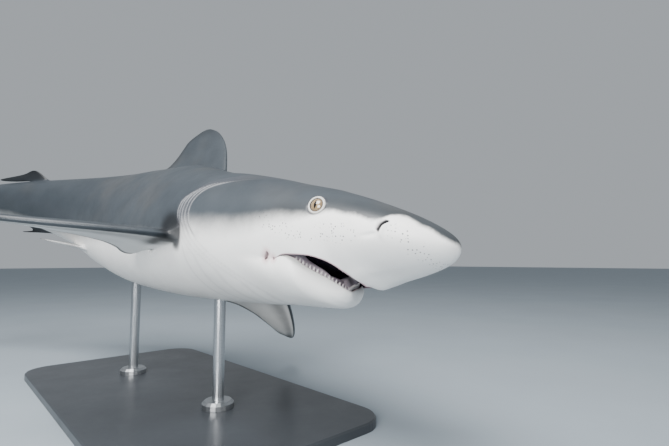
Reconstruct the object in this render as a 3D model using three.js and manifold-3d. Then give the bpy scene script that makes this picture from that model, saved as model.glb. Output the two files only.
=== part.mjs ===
// A life-size silky shark, 2 m long, swimming in a turn, on a plain display stand.
// Millimetres, +Z up. The origin is the middle of the stand's underside, and +X is where the shark heads.
//
// The fish is shaped along its backbone. A station is a distance s from the snout tip, measured
// back along the backbone; y is to the fish's left and z is up, both across the backbone.
import * as THREE from "three";
import { mergeVertices } from "three/addons/utils/BufferGeometryUtils.js";
import Module from "manifold-3d";

const wasm = await Module();
wasm.setup();

// ---------------------------------------------------------------- driving dimensions
const TOTAL_LENGTH = 2000; // snout tip to tail tip, along the backbone
const SNOUT_HEIGHT = 310; // snout tip above the floor
const BALANCE_STATION = 700; // this station of the backbone is over the middle of the stand
const BANK = -17.8; // degrees about +X: the left side hangs lower
const NOSE_DOWN = 3; // degrees
const GAP = 0.35; // left between two pieces that touch

// The backbone's bends: each is spread smoothly between two stations.
const BENDS = [
  { about: "up", degrees: -5, from: 200, to: 700 }, // minus swings the tail to the right
  { about: "up", degrees: -40, from: 700, to: 1500 },
  { about: "left", degrees: 2, from: 200, to: 900 }, // plus lifts the tail
  { about: "left", degrees: -3.5, from: 800, to: 1600 },
  { about: "left", degrees: 31, from: 1450, to: 1640 }, // the tail fin's upper lobe turns up
  { about: "forward", degrees: -7, from: 160, to: 700 }, // plus lifts the left side
  { about: "forward", degrees: 37.5, from: 700, to: 1500 },
];

// The body: station, height above the backbone, depth below it, half width.
const STATIONS = [
  [0, 0, 0, 0],
  [8, 12, 13, 22],
  [24, 21, 21.5, 39.5],
  [50, 31.5, 30.5, 57],
  [75, 39.8, 38.5, 69],
  [98, 46.8, 46, 77.5],
  [112, 51, 53.5, 82],
  [126, 54.8, 60, 86],
  [138, 58, 71, 89.5],
  [150, 61, 80, 92.5],
  [165, 65, 84.5, 95.5],
  [200, 72, 89.5, 101],
  [240, 79.5, 94.5, 108.5],
  [300, 91.5, 100.5, 119.5],
  [385, 104, 107.5, 134.5],
  [450, 113, 114, 131.5],
  [520, 126.5, 121, 130],
  [660, 151, 132, 121.5],
  [800, 147, 137, 112],
  [960, 128, 126, 96],
  [1120, 104, 95, 74],
  [1280, 79, 64, 52],
  [1400, 60, 46, 37],
  [1470, 47, 40, 27],
  [1520, 39, 52, 19],
  [1580, 31, 66, 13],
  [1650, 25, 71, 9.5],
  [1730, 20, 64, 7.5],
  [1810, 16, 53, 6],
  [1870, 13, 42, 4.8],
  [1908, 11, 28, 4],
  [1924, 10, 42, 3.6],
  [1955, 8, 41, 3],
  [1982, 6, 29, 2.2],
  [2000, 3, 14, 1.2],
];

// The power of a section's sine and cosine: 1 is an ellipse, and less is squarer.
const ROUNDNESS = { back: 0.92, belly: 0.92, jaw: 1.1, lobe: 1.5 };

const HEAD_END = 470;
const TRUNK_END = 1010;
const STEM_END = 1480;

// ---------------------------------------------------------------- small helpers
const radians = (degrees) => (degrees * Math.PI) / 180;
const clamp01 = (t) => Math.min(1, Math.max(0, t));
const smooth = (from, to, x) => {
  const t = clamp01((x - from) / (to - from));
  return t * t * (3 - 2 * t);
};
const power = (value, exponent) => Math.sign(value) * Math.abs(value) ** exponent;

// A smooth curve through points (x, y) that never overshoots them.
function curveThrough(points) {
  const n = points.length;
  const slope = points.slice(1).map((p, i) => (p[1] - points[i][1]) / (p[0] - points[i][0]));
  const tangent = points.map((p, i) => {
    if (i === 0) return slope[0];
    if (i === n - 1) return slope[n - 2];
    if (slope[i - 1] * slope[i] <= 0) return 0;
    const before = p[0] - points[i - 1][0];
    const after = points[i + 1][0] - p[0];
    const w1 = 2 * after + before;
    const w2 = after + 2 * before;
    return (w1 + w2) / (w1 / slope[i - 1] + w2 / slope[i]);
  });
  return (x) => {
    if (x <= points[0][0]) return points[0][1];
    if (x >= points[n - 1][0]) return points[n - 1][1];
    const i = points.findIndex((p) => p[0] > x) - 1;
    const span = points[i + 1][0] - points[i][0];
    const t = (x - points[i][0]) / span;
    const rise = points[i + 1][1] - points[i][1];
    const a = tangent[i] * span;
    const b = tangent[i + 1] * span;
    return points[i][1] + t * (a + t * (3 * rise - 2 * a - b + t * (a + b - 2 * rise)));
  };
}

// Squares are interpolated near the snout, so that the tip comes out round.
const SNOUT_ROUND = 300;
function profile(column) {
  const squares = curveThrough(STATIONS.map((row) => [row[0], row[column] ** 2]));
  const plain = curveThrough(STATIONS.map((row) => [row[0], row[column]]));
  return (s) => {
    const blend = smooth(SNOUT_ROUND, 2 * SNOUT_ROUND, s);
    return (1 - blend) * Math.sqrt(Math.max(0, squares(s))) + blend * plain(s);
  };
}
const topOf = profile(1);
const depthOf = profile(2);
const halfWidthOf = profile(3);

// ---------------------------------------------------------------- the backbone
const STEP = 5;
const backbone = [];
{
  const turned = (about, s) =>
    BENDS.filter((b) => b.about === about).reduce(
      (sum, b) => sum + radians(b.degrees) * smooth(b.from, b.to, s),
      0,
    );
  const at = new THREE.Vector3();
  const turn = new THREE.Quaternion();
  for (let s = 0; s <= TOTAL_LENGTH + 2 * STEP; s += STEP) {
    backbone.push({ at: at.clone(), turn: turn.clone() });
    const change = ["forward", "left", "up"].map((a) => turned(a, s + STEP) - turned(a, s));
    const axis = new THREE.Vector3(change[0], change[1], -change[2]);
    const angle = axis.length();
    const back = new THREE.Vector3(-STEP, 0, 0).applyQuaternion(turn);
    at.add(back);
    if (angle > 0) turn.multiply(new THREE.Quaternion().setFromAxisAngle(axis.normalize(), angle));
  }
}

// The place across the backbone at station s, in the fish's own frame.
function place(s, y, z) {
  const k = Math.min(backbone.length - 2, Math.max(0, Math.floor(s / STEP)));
  const t = s / STEP - k;
  const at = backbone[k].at.clone().lerp(backbone[k + 1].at, t);
  const turn = backbone[k].turn.clone().slerp(backbone[k + 1].turn, clamp01(t));
  return new THREE.Vector3(0, y, z).applyQuaternion(turn).add(at);
}

function directionsAt(s) {
  const turn = backbone[Math.round(s / STEP)].turn;
  return {
    back: new THREE.Vector3(-1, 0, 0).applyQuaternion(turn),
    left: new THREE.Vector3(0, 1, 0).applyQuaternion(turn),
    up: new THREE.Vector3(0, 0, 1).applyQuaternion(turn),
  };
}

// ---------------------------------------------------------------- solids
// A closed cylinder whose points are moved by shape(share of length, angle, share of radius).
function shapedTube(around, along, shape) {
  const tube = new THREE.CylinderGeometry(1, 1, 1, around, along);
  tube.deleteAttribute("normal");
  tube.deleteAttribute("uv");
  const closed = mergeVertices(tube, 1e-4);
  const p = closed.getAttribute("position");
  for (let i = 0; i < p.count; i++) {
    const radius = Math.hypot(p.getX(i), p.getZ(i));
    const angle = Math.atan2(p.getZ(i), p.getX(i));
    const to = shape(0.5 - p.getY(i), angle, radius);
    p.setXYZ(i, to.x, to.y, to.z);
  }
  return closed;
}

function solidOf(geometry) {
  const g = geometry.clone();
  g.deleteAttribute("normal");
  g.deleteAttribute("uv");
  const merged = mergeVertices(g, 1e-4);
  const make = (triVerts) =>
    new wasm.Manifold(
      new wasm.Mesh({
        numProp: 3,
        vertProperties: new Float32Array(merged.getAttribute("position").array),
        triVerts,
      }),
    );
  const solid = make(new Uint32Array(merged.index.array));
  return solid.volume() > 0 ? solid : make(new Uint32Array(merged.index.array).reverse());
}

function geometryOf(solid) {
  const mesh = solid.getMesh();
  const points = new Float32Array(mesh.numVert * 3);
  for (let i = 0; i < mesh.numVert; i++)
    for (let k = 0; k < 3; k++) points[3 * i + k] = mesh.vertProperties[mesh.numProp * i + k];
  const geometry = new THREE.BufferGeometry();
  geometry.setAttribute("position", new THREE.BufferAttribute(points, 3));
  geometry.setIndex(new THREE.BufferAttribute(new Uint32Array(mesh.triVerts), 1));
  geometry.computeVertexNormals();
  return geometry;
}

// The biggest piece of a cut solid, without the slivers that a cut can leave.
const mainPiece = (solid) =>
  solid.decompose().reduce((best, one) => (one.volume() > best.volume() ? one : best));

// ---------------------------------------------------------------- body
// The lower half is narrow round the jaws, and thin below the backbone of the tail fin's lobe.
function bellyRoundness(s) {
  const jaw = smooth(90, 150, s) * (1 - smooth(220, 360, s));
  const lobe = smooth(STEM_END - 20, STEM_END + 120, s);
  const { belly, jaw: atJaw, lobe: atLobe } = ROUNDNESS;
  return belly + (atJaw - belly) * jaw + (atLobe - belly) * lobe;
}

// A point of the body's section, grown outwards by grow.
function skinPoint(s, angle, radius, grow) {
  const isBack = Math.sin(angle) > 0;
  const exponent = isBack ? ROUNDNESS.back : bellyRoundness(s);
  const y = (halfWidthOf(s) + grow) * power(Math.cos(angle), exponent);
  const z = ((isBack ? topOf(s) : depthOf(s)) + grow) * power(Math.sin(angle), exponent);
  return place(s, radius * y, radius * z);
}

// Stations between from and to, closer together towards the snout.
function stationAt(from, to, t) {
  const OFFSET = 4;
  const ease = (s) => Math.sqrt(s + OFFSET);
  const r = ease(from) + (ease(to) - ease(from)) * t;
  return r * r - OFFSET;
}

function bodyLength({ from, to, along, around }, grow = 0, trim = 0) {
  return solidOf(
    shapedTube(around, along, (t, angle, radius) =>
      skinPoint(stationAt(from + trim, to - trim, t), angle, radius, grow),
    ),
  );
}

// The lengths that the body is parted into, and the faces along and around each.
// The tip is cut a little back, so that it isn't a point.
const LENGTHS = {
  head: { from: 0.6, to: HEAD_END, along: 27, around: 28 },
  trunk: { from: HEAD_END, to: TRUNK_END, along: 11, around: 28 },
  tail_stem: { from: TRUNK_END, to: STEM_END, along: 10, around: 28 },
  caudal_upper_lobe: { from: STEM_END, to: TOTAL_LENGTH, along: 20, around: 16 },
};

// ---------------------------------------------------------------- mouth
// Stations, and depths below the backbone.
const MOUTH = {
  hinge: 184, // the lips are open ahead of here
  hingeDepth: 43.5,
  corner: 212,
  cornerDepth: 52,
  chin: 137,
  chinLip: 65.5, // the lower lip at the chin
  palate: 150, // the upper lip's highest point
  palateDepth: 42,
  jawBack: 240, // the lower jaw's node ends here
};
function upperLip(s) {
  const away = s - MOUTH.palate;
  return MOUTH.palateDepth + (away < 0 ? 5.3e-6 * away ** 4 : 0.0015 * away ** 2);
}
// Behind the hinge the lips are shut, and their line falls to the corner and a little past it.
function lowerLip(s) {
  const open = clamp01((MOUTH.hinge - s) / (MOUTH.hinge - MOUTH.chin));
  const fall = smooth(MOUTH.hinge + 8, MOUTH.corner + 8, s);
  const shut = MOUTH.hingeDepth + (MOUTH.cornerDepth + 4 - MOUTH.hingeDepth) * fall;
  return shut + (MOUTH.chinLip - MOUTH.hingeDepth) * open ** 0.7;
}

// The lower jaw seen from below, and the depth of its underside. It is trimmed to the body's own skin.
const JAW = [
  [137, 2, 76],
  [139, 7, 78.5],
  [143, 15, 81.5],
  [150, 26, 84.5],
  [165, 43, 89],
  [175, 58, 93],
  [183, 73, 97],
  [190, 84, 101],
  [200, 96, 106],
  [212, 106, 112],
  [265, 150, 135],
];
const jawHalfWidth = curveThrough(JAW.map((row) => [row[0], row[1]]));
const jawDepth = curveThrough(JAW.map((row) => [row[0], row[2]]));
const JAW_TOP = 30; // the jaw's section starts this far below the backbone, inside the head
const JAW_WIDEST_BELOW_MIDDLE = 12;
const JAW_OVERRUN = 24; // the lobe runs on past the end of its node, where it is cut
const JAW_ROUNDNESS = { across: 0.8, down: 0.85 };

function jawLobe(grow) {
  const widest = (s) => (JAW_TOP + jawDepth(s)) / 2 + JAW_WIDEST_BELOW_MIDDLE;
  const length = MOUTH.jawBack + JAW_OVERRUN - MOUTH.chin;
  return solidOf(
    shapedTube(22, 11, (t, angle, radius) => {
      const s = MOUTH.chin - grow + length * t ** 1.6;
      const y = (jawHalfWidth(s) + grow) * power(Math.cos(angle), JAW_ROUNDNESS.across);
      const half = Math.sin(angle) > 0 ? widest(s) - JAW_TOP : jawDepth(s) - widest(s) + grow;
      const z = half * power(Math.sin(angle), JAW_ROUNDNESS.down) * radius - widest(s);
      return place(s, radius * y, z);
    }),
  );
}

// A block across the whole head, from station to station, whose top follows a line of depths.
const BLOCK = { halfWidth: 150, depth: 200 };
function blockBelow(from, to, depthAt, steps) {
  const block = new THREE.BoxGeometry(1, 2, 1, steps, 1, 1);
  block.deleteAttribute("normal");
  block.deleteAttribute("uv");
  const closed = mergeVertices(block, 1e-4);
  const p = closed.getAttribute("position");
  for (let i = 0; i < p.count; i++) {
    const s = from + (to - from) * (p.getX(i) + 0.5);
    const z = p.getZ(i) > 0 ? -depthAt(s) : -BLOCK.depth;
    const point = place(s, p.getY(i) * BLOCK.halfWidth, z);
    p.setXYZ(i, point.x, point.y, point.z);
  }
  return solidOf(closed);
}

const MOUTH_FRONT = 84; // ahead of the chin, where the upper lip's line leaves the head
const LIP_OVERRUN = 30;
const mouthSpace = () => blockBelow(MOUTH_FRONT, MOUTH.hinge, upperLip, 16);
const belowLowerLip = (grow) =>
  blockBelow(MOUTH.chin - LIP_OVERRUN, MOUTH.jawBack + LIP_OVERRUN, (s) => lowerLip(s) - grow, 24);

// The hollow behind the teeth: its middle and its half sizes.
const THROAT = { station: 203, depth: 50, halfLength: 56, halfWidth: 47, halfHeight: 15 };
function throat() {
  const hollow = new THREE.SphereGeometry(1, 14, 8);
  const p = hollow.getAttribute("position");
  for (let i = 0; i < p.count; i++) {
    const s = THROAT.station - THROAT.halfLength * p.getX(i);
    const z = THROAT.halfHeight * p.getZ(i) - THROAT.depth;
    const to = place(s, THROAT.halfWidth * p.getY(i), z);
    p.setXYZ(i, to.x, to.y, to.z);
  }
  return solidOf(hollow);
}

// The rows of pointed teeth, each on a rounded arch; they are biggest at the front.
const LOWER_ARCH = { front: 143, depth: 36, halfSpan: 54, count: 19, tooth: 2.7 };
const UPPER_ARCH = { front: 120, depth: 40, halfSpan: 62, count: 13, tooth: 2 };
const ARCH_POWER = 2.4; // 2 is a parabola, and more is a squarer arch
const TOOTH = { height: 2.4, narrow: 0.6, sunk: 0.45, smallest: 0.55 }; // shares of its width or size
const ARCH_SPREAD = Math.PI / 2.3; // spaces the teeth closer towards the corners

function teeth(arch, lip, upwards) {
  const all = [];
  for (let k = 0; k < arch.count; k++) {
    const share = (2 * k) / (arch.count - 1) - 1;
    const y = (arch.halfSpan * Math.sin(share * ARCH_SPREAD)) / Math.sin(ARCH_SPREAD);
    const s = arch.front + arch.depth * Math.abs(y / arch.halfSpan) ** ARCH_POWER;
    const width = arch.tooth * (1 - (1 - TOOTH.smallest) * Math.abs(share));
    const height = width * TOOTH.height;
    const cone = new THREE.ConeGeometry(width * TOOTH.narrow, height, 4);
    cone.rotateX(upwards ? Math.PI / 2 : -Math.PI / 2);
    const root = -lip(s) + (upwards ? 1 : -1) * width * TOOTH.sunk;
    const p = cone.getAttribute("position");
    for (let i = 0; i < p.count; i++) {
      const to = place(s - p.getX(i), y + p.getY(i), root + p.getZ(i));
      p.setXYZ(i, to.x, to.y, to.z);
    }
    all.push(solidOf(cone));
  }
  return all;
}

// ---------------------------------------------------------------- eyes
const EYE = { station: 151, out: 80.5, up: 17.5, radius: 14 };
function eyeball(side, grow) {
  const ball = new THREE.SphereGeometry(EYE.radius + grow, 14, 9);
  const at = place(EYE.station, side * EYE.out, EYE.up);
  ball.translate(at.x, at.y, at.z);
  return solidOf(ball);
}

// ---------------------------------------------------------------- fins
// A fin's outline is given by its front and rear edges: [height from the root, distance back].
const FIN_OUTLINES = {
  pectoral: {
    front: [[-40, -2], [0, 0], [40, 6], [90, 19], [150, 42], [210, 74], [265, 113], [305, 152], [321, 177]],
    rear: [
      [-40, 100], [0, 106], [2, 150], [8, 190], [18, 198], [28, 192], [45, 168],
      [80, 142], [130, 132], [190, 138], [250, 158], [300, 182], [321, 187],
    ],
    thickness: [[-40, 22], [0, 19], [60, 16], [160, 13.5], [260, 9.5], [321, 3]],
    crown: 1.25, // share of its thickness above the middle: 1 is even
  },
  firstDorsal: {
    front: [
      [-45, -46], [0, -8], [42, 23], [73, 48], [95, 70],
      [114, 93], [131, 118], [143, 142], [149, 164],
    ],
    rear: [
      [-45, 188], [-12, 210], [-8, 286], [-1, 324], [7, 326], [16, 298], [23, 276], [31, 258],
      [46, 247], [63, 239], [85, 233], [107, 227], [120, 218], [132, 206], [143, 193], [149, 181],
    ],
    thickness: [[-45, 26], [0, 21], [60, 14], [120, 8], [149, 2.4]],
  },
  secondDorsal: {
    front: [[-20, -16], [0, 2], [13, 17], [24, 30], [30, 40], [31.5, 46]],
    rear: [
      [-20, 50], [0, 62], [3, 110], [8, 148], [12, 156],
      [16, 132], [19, 102], [23, 77], [30, 58], [31.5, 53],
    ],
    thickness: [[-20, 12], [0, 9], [18, 5.5], [31.5, 1.8]],
  },
  anal: {
    front: [[-20, -26], [0, 0], [12, 40], [22, 78], [31, 110], [35, 126]],
    rear: [
      [-20, 56], [0, 66], [2, 138], [5, 160], [8, 156],
      [11, 122], [15, 98], [20, 96], [28, 112], [35, 133],
    ],
    thickness: [[-20, 12], [0, 9], [18, 5.5], [35, 1.8]],
  },
  pelvic: {
    front: [[-30, -6], [0, 0], [30, 18], [55, 38], [72, 56], [80, 68]],
    rear: [
      [-30, 84], [0, 90], [2, 122], [6, 142], [14, 142], [28, 120], [48, 100], [66, 88], [80, 76],
    ],
    thickness: [[-30, 15], [0, 11], [40, 7.5], [80, 2]],
  },
  lowerCaudal: {
    front: [[-30, -4], [0, 0], [50, 14], [110, 42], [160, 74], [200, 104], [214, 118]],
    rear: [
      [-30, 128], [0, 122], [25, 104], [60, 96], [110, 102], [160, 116], [200, 130], [214, 128],
    ],
    thickness: [[-30, 17], [0, 13], [80, 9], [214, 2]],
  },
};
const EDGE_HALF_THICKNESS = 0.3;
const THICKEST = 0.2; // share of the chord, from the front, where a fin is thickest

const REAR_POWER = 1.3; // the section behind its thickest place: 1 is straight, 2 is round
const LEAST_CHORD = 3;

// A point of a fin in its own plane: height from the root, distance back, and sideways thickness.
function finPoint(outline, t, angle, radius) {
  const from = outline.front[0][0];
  const to = outline.front.at(-1)[0];
  const height = from + (to - from) * t;
  const front = outline.frontEdge(height);
  const chord = Math.max(LEAST_CHORD, outline.rearEdge(height) - front);
  const share = 0.5 - 0.5 * Math.cos(angle);
  const nose = 1 - share / THICKEST;
  const tail = (share - THICKEST) / (1 - THICKEST);
  const plump = share < THICKEST ? Math.sqrt(1 - nose ** 2) : 1 - tail ** REAR_POWER;
  const facing = Math.abs(Math.sin(angle)) < 1e-6 ? 0 : Math.sign(Math.sin(angle));
  const crown = 1 + facing * ((outline.crown ?? 1) - 1);
  const half = (outline.thick(height) / 2) * plump * crown + EDGE_HALF_THICKNESS;
  return {
    height,
    back: front + chord * (0.5 + (share - 0.5) * radius),
    side: radius * facing * half,
  };
}
for (const outline of Object.values(FIN_OUTLINES)) {
  outline.frontEdge = curveThrough(outline.front);
  outline.rearEdge = curveThrough(outline.rear);
  outline.thick = curveThrough(outline.thickness);
}

// Rings are closer together near the root, where the free rear tip is.
const spreadToRoot = (t) => 0.45 * t + 0.55 * t * t;

// A fin on the midline, from station s; up is 1 for the back and -1 for the belly. Its heights
// are from the line through the body's edge at both ends of its base.
function medianFin(outline, s, up, around, along) {
  const edge = up > 0 ? topOf : depthOf;
  const baseLength = outline.rearEdge(0);
  const fall = (edge(s + baseLength) - edge(s)) / baseLength;
  return solidOf(
    shapedTube(around, along, (t, angle, radius) => {
      const p = finPoint(outline, spreadToRoot(t), angle, radius);
      return place(s + p.back, p.side, up * (edge(s) + fall * p.back + p.height));
    }),
  );
}

// A fin of a pair: root station, width and height, and how it is held, in degrees.
const DROOP_STEPS = 24;
function pairedFin(outline, root, side, hold, around, along) {
  const { back, left, up } = directionsAt(root.station);
  const at = place(root.station, side * root.out, root.up);
  const span = outline.front.at(-1)[0];
  const droopAt = (u) => radians(hold.droop + (hold.curl * Math.max(0, u)) / span);
  // how far out and down a way of length u along the drooping fin leads
  const reach = (u) => {
    const length = u / DROOP_STEPS;
    let out = 0;
    let down = 0;
    for (let k = 0; k < DROOP_STEPS; k++) {
      const droop = droopAt(length * (k + 0.5));
      out += Math.cos(droop) * length;
      down += Math.sin(droop) * length;
    }
    return { out, down };
  };
  const sweep = radians(hold.sweep);
  return solidOf(
    shapedTube(around, along, (t, angle, radius) => {
      const p = finPoint(outline, spreadToRoot(t), angle, radius);
      const u = p.height * Math.cos(sweep) - p.back * Math.sin(sweep);
      const v = p.height * Math.sin(sweep) + p.back * Math.cos(sweep);
      const pitch = radians(hold.pitch + (hold.twist * Math.max(0, u)) / span);
      const sink = v * Math.sin(pitch) - p.side * Math.cos(pitch);
      const far = reach(u);
      return at
        .clone()
        .addScaledVector(back, v * Math.cos(pitch) + p.side * Math.sin(pitch))
        .addScaledVector(left, side * (far.out - sink * Math.sin(droopAt(u))))
        .addScaledVector(up, -far.down - sink * Math.cos(droopAt(u)));
    }),
  );
}

const PECTORAL_ROOT = { station: 443, out: 118, up: -44 };
const RIGHT_PECTORAL = { droop: 15.2, curl: 5.7, pitch: 13.5, sweep: 2.7, twist: -14 };
const LEFT_PECTORAL = { droop: 20.2, curl: -1.7, pitch: 22.8, sweep: 11, twist: -27.5 };
const PELVIC_ROOT = { station: 985, out: 60, up: -90 };
const PELVIC_HOLD = { droop: 2, curl: 0, pitch: 2, sweep: 0, twist: 0 };

// ---------------------------------------------------------------- assembly
const material = (color, roughness, metalness = 0) =>
  new THREE.MeshStandardMaterial({ color, roughness, metalness });
const FLESH = material(0x7f868b, 0.45);
const EYE_GLASS = material(0xb9a98a, 0.08);
const STEEL = material(0x9da0a3, 0.35, 1);
const LACQUER = material(0x2b2d30, 0.5);

function meshOf(name, geometry, finish) {
  const mesh = new THREE.Mesh(geometry, finish);
  mesh.name = name;
  return mesh;
}

// The lengths overlap here, so that no sliver is left between them.
const grownBody = Object.values(LENGTHS).map((length) => bodyLength(length, GAP, -1));
const clearOfBody = (solid) => grownBody.reduce((left, part) => left.subtract(part), solid);

function head() {
  const jawRoom = jawLobe(GAP).intersect(belowLowerLip(GAP)).subtract(behindJaw(GAP));
  let solid = bodyLength(LENGTHS.head).subtract(mouthSpace()).subtract(jawRoom).subtract(throat());
  solid = mainPiece(solid);
  for (const tooth of teeth(UPPER_ARCH, upperLip, false)) solid = solid.add(tooth);
  for (const side of [1, -1]) solid = solid.subtract(eyeball(side, GAP));
  return mainPiece(solid);
}

// Everything behind the slanting plane where the lower jaw's node ends.
const JAW_END_SLANT = 18; // degrees from upright
const JAW_END_MIDDLE = 60; // below the backbone, where the plane passes station jawBack
function behindJaw(shift) {
  const block = new THREE.BoxGeometry(300, 400, 400);
  block.rotateY(radians(-JAW_END_SLANT));
  block.translate(-MOUTH.jawBack - 150 - shift, 0, -JAW_END_MIDDLE);
  return solidOf(block);
}

function lowerJaw() {
  let solid = jawLobe(0).intersect(bodyLength(LENGTHS.head)).intersect(belowLowerLip(0));
  solid = mainPiece(solid.subtract(behindJaw(0)).subtract(throat()));
  for (const tooth of teeth(LOWER_ARCH, lowerLip, true)) solid = solid.add(tooth);
  return mainPiece(solid);
}

const swimmer = new THREE.Group();
swimmer.rotation.set(radians(BANK), radians(NOSE_DOWN), 0, "ZYX");
swimmer.updateMatrix();
const balance = place(BALANCE_STATION, 0, 0).applyMatrix4(swimmer.matrix);
swimmer.position.set(-balance.x, -balance.y, SNOUT_HEIGHT);
swimmer.updateMatrix();

const addFlesh = (name, solid) => swimmer.add(meshOf(name, geometryOf(solid), FLESH));
addFlesh("head", head());
addFlesh("lower_jaw", lowerJaw());
for (const name of ["trunk", "tail_stem", "caudal_upper_lobe"])
  addFlesh(name, bodyLength(LENGTHS[name], 0, GAP / 2));

// Fins: the outline, the root's station, up or down, and the faces around and along each.
const finOnBody = (solid) => mainPiece(clearOfBody(solid));
const { firstDorsal, secondDorsal, anal, pelvic, pectoral, lowerCaudal } = FIN_OUTLINES;
addFlesh("first_dorsal_fin", finOnBody(medianFin(firstDorsal, 627, 1, 16, 17)));
addFlesh("second_dorsal_fin", finOnBody(medianFin(secondDorsal, 1276, 1, 12, 12)));
addFlesh("anal_fin", finOnBody(medianFin(anal, 1240, -1, 12, 12)));
addFlesh("caudal_lower_lobe", finOnBody(medianFin(lowerCaudal, 1462, -1, 14, 12)));
for (const [name, side, hold] of [["left", 1, LEFT_PECTORAL], ["right", -1, RIGHT_PECTORAL]]) {
  addFlesh(`pectoral_fin_${name}`, finOnBody(pairedFin(pectoral, PECTORAL_ROOT, side, hold, 16, 18)));
  addFlesh(`pelvic_fin_${name}`, finOnBody(pairedFin(pelvic, PELVIC_ROOT, side, PELVIC_HOLD, 12, 10)));
  swimmer.add(meshOf(`eye_${name}`, geometryOf(eyeball(side, 0)), EYE_GLASS));
}

// ---------------------------------------------------------------- stand
const BASE = { length: 860, width: 440, height: 16, corner: 60, bevel: 3 };
const ROD_RADIUS = 11;
const SOCKET = { radius: 30, height: 14, chamfer: 5 };
const ROD_STATIONS = { front: 520, rear: 900 };

function basePlate() {
  const x = BASE.length / 2 - BASE.bevel;
  const y = BASE.width / 2 - BASE.bevel;
  const r = BASE.corner;
  const outline = new THREE.Shape();
  outline.absarc(x - r, y - r, r, 0, Math.PI / 2);
  outline.absarc(-x + r, y - r, r, Math.PI / 2, Math.PI);
  outline.absarc(-x + r, -y + r, r, Math.PI, 1.5 * Math.PI);
  outline.absarc(x - r, -y + r, r, 1.5 * Math.PI, 2 * Math.PI);
  outline.closePath();
  const plate = new THREE.ExtrudeGeometry(outline, {
    depth: BASE.height - BASE.bevel,
    bevelEnabled: true,
    bevelThickness: BASE.bevel,
    bevelSize: BASE.bevel,
    bevelSegments: 1,
    curveSegments: 5,
  });
  // the underside is cut flat, so that the plate stands on a full flat face
  const below = new THREE.BoxGeometry(2 * BASE.length, 2 * BASE.width, 100);
  below.translate(0, 0, -50);
  return geometryOf(solidOf(plate).subtract(solidOf(below)));
}

function socket() {
  const inner = ROD_RADIUS + GAP;
  const ring = [
    [inner, 0],
    [SOCKET.radius, 0],
    [SOCKET.radius, SOCKET.height - SOCKET.chamfer],
    [SOCKET.radius - SOCKET.chamfer, SOCKET.height],
    [inner, SOCKET.height],
    [inner, 0],
  ];
  const lathe = new THREE.LatheGeometry(ring.map(([r, z]) => new THREE.Vector2(r, z)), 20);
  lathe.rotateX(Math.PI / 2);
  return geometryOf(solidOf(lathe));
}

// The body as it stands in the room, for cutting the rods' tops to fit under it.
const bodyInRoom = grownBody.map((part) => {
  const geometry = geometryOf(part);
  geometry.applyMatrix4(swimmer.matrix);
  return solidOf(geometry);
});

const shark = new THREE.Group();
shark.add(swimmer);
shark.add(meshOf("stand_base", basePlate(), LACQUER));
for (const [name, station] of Object.entries(ROD_STATIONS)) {
  const foot = place(station, 0, 0).applyMatrix4(swimmer.matrix);
  const bottom = BASE.height + GAP;
  const rod = new THREE.CylinderGeometry(ROD_RADIUS, ROD_RADIUS, foot.z - bottom, 18);
  rod.rotateX(Math.PI / 2);
  rod.translate(foot.x, foot.y, (foot.z + bottom) / 2);
  const cut = bodyInRoom.reduce((left, part) => left.subtract(part), solidOf(rod));
  shark.add(meshOf(`stand_rod_${name}`, geometryOf(mainPiece(cut)), STEEL));
  const collar = meshOf(`stand_socket_${name}`, socket(), STEEL);
  collar.position.set(foot.x, foot.y, bottom);
  shark.add(collar);
}

export default shark;
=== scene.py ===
import math

import bmesh
import bpy
import numpy as np
from mathutils import Euler, Matrix, Quaternion, Vector


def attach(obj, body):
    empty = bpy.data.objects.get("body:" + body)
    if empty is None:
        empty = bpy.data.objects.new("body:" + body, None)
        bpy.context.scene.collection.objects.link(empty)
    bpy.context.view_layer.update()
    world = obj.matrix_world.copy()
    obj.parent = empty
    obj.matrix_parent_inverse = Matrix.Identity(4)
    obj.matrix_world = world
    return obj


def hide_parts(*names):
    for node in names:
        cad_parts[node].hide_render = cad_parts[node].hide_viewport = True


# A life-size silky shark on a plain display stand.
#
# Its skin is one mesh. It is first laid out as a flat sheet of rows and columns, wrapped round a
# straight fish, given its mouth, eyes, gills and folds there, bent along the backbone, and last
# the fins are grown out of openings in it. A place on the straight fish is (s, y, z): s from the
# snout tip back, y to the left and z up, all in millimetres.

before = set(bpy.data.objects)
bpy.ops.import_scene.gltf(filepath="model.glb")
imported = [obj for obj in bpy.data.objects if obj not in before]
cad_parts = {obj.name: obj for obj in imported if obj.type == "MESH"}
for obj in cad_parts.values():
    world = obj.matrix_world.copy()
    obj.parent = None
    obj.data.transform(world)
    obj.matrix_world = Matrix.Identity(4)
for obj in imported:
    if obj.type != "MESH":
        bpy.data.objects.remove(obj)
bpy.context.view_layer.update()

# ------------------------------------------------------------------ sizes of the fish
MM = 0.001
TOTAL_LENGTH = 2000
SNOUT_HEIGHT = 310
BALANCE_STATION = 700  # this station is over the middle of the stand
BANK = -17.8  # degrees about +X
NOSE_DOWN = 3
UPWARDS = np.array([0, 0, 1])

# The backbone's bends: about which way, degrees, and the stations that each is spread between.
BENDS = [
    ("up", -5, 200, 700),
    ("up", -40, 700, 1500),
    ("left", 2, 200, 900),
    ("left", -3.5, 800, 1600),
    ("left", 31, 1450, 1640),
    ("forward", -7, 160, 700),
    ("forward", 37.5, 700, 1500),
]

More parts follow.
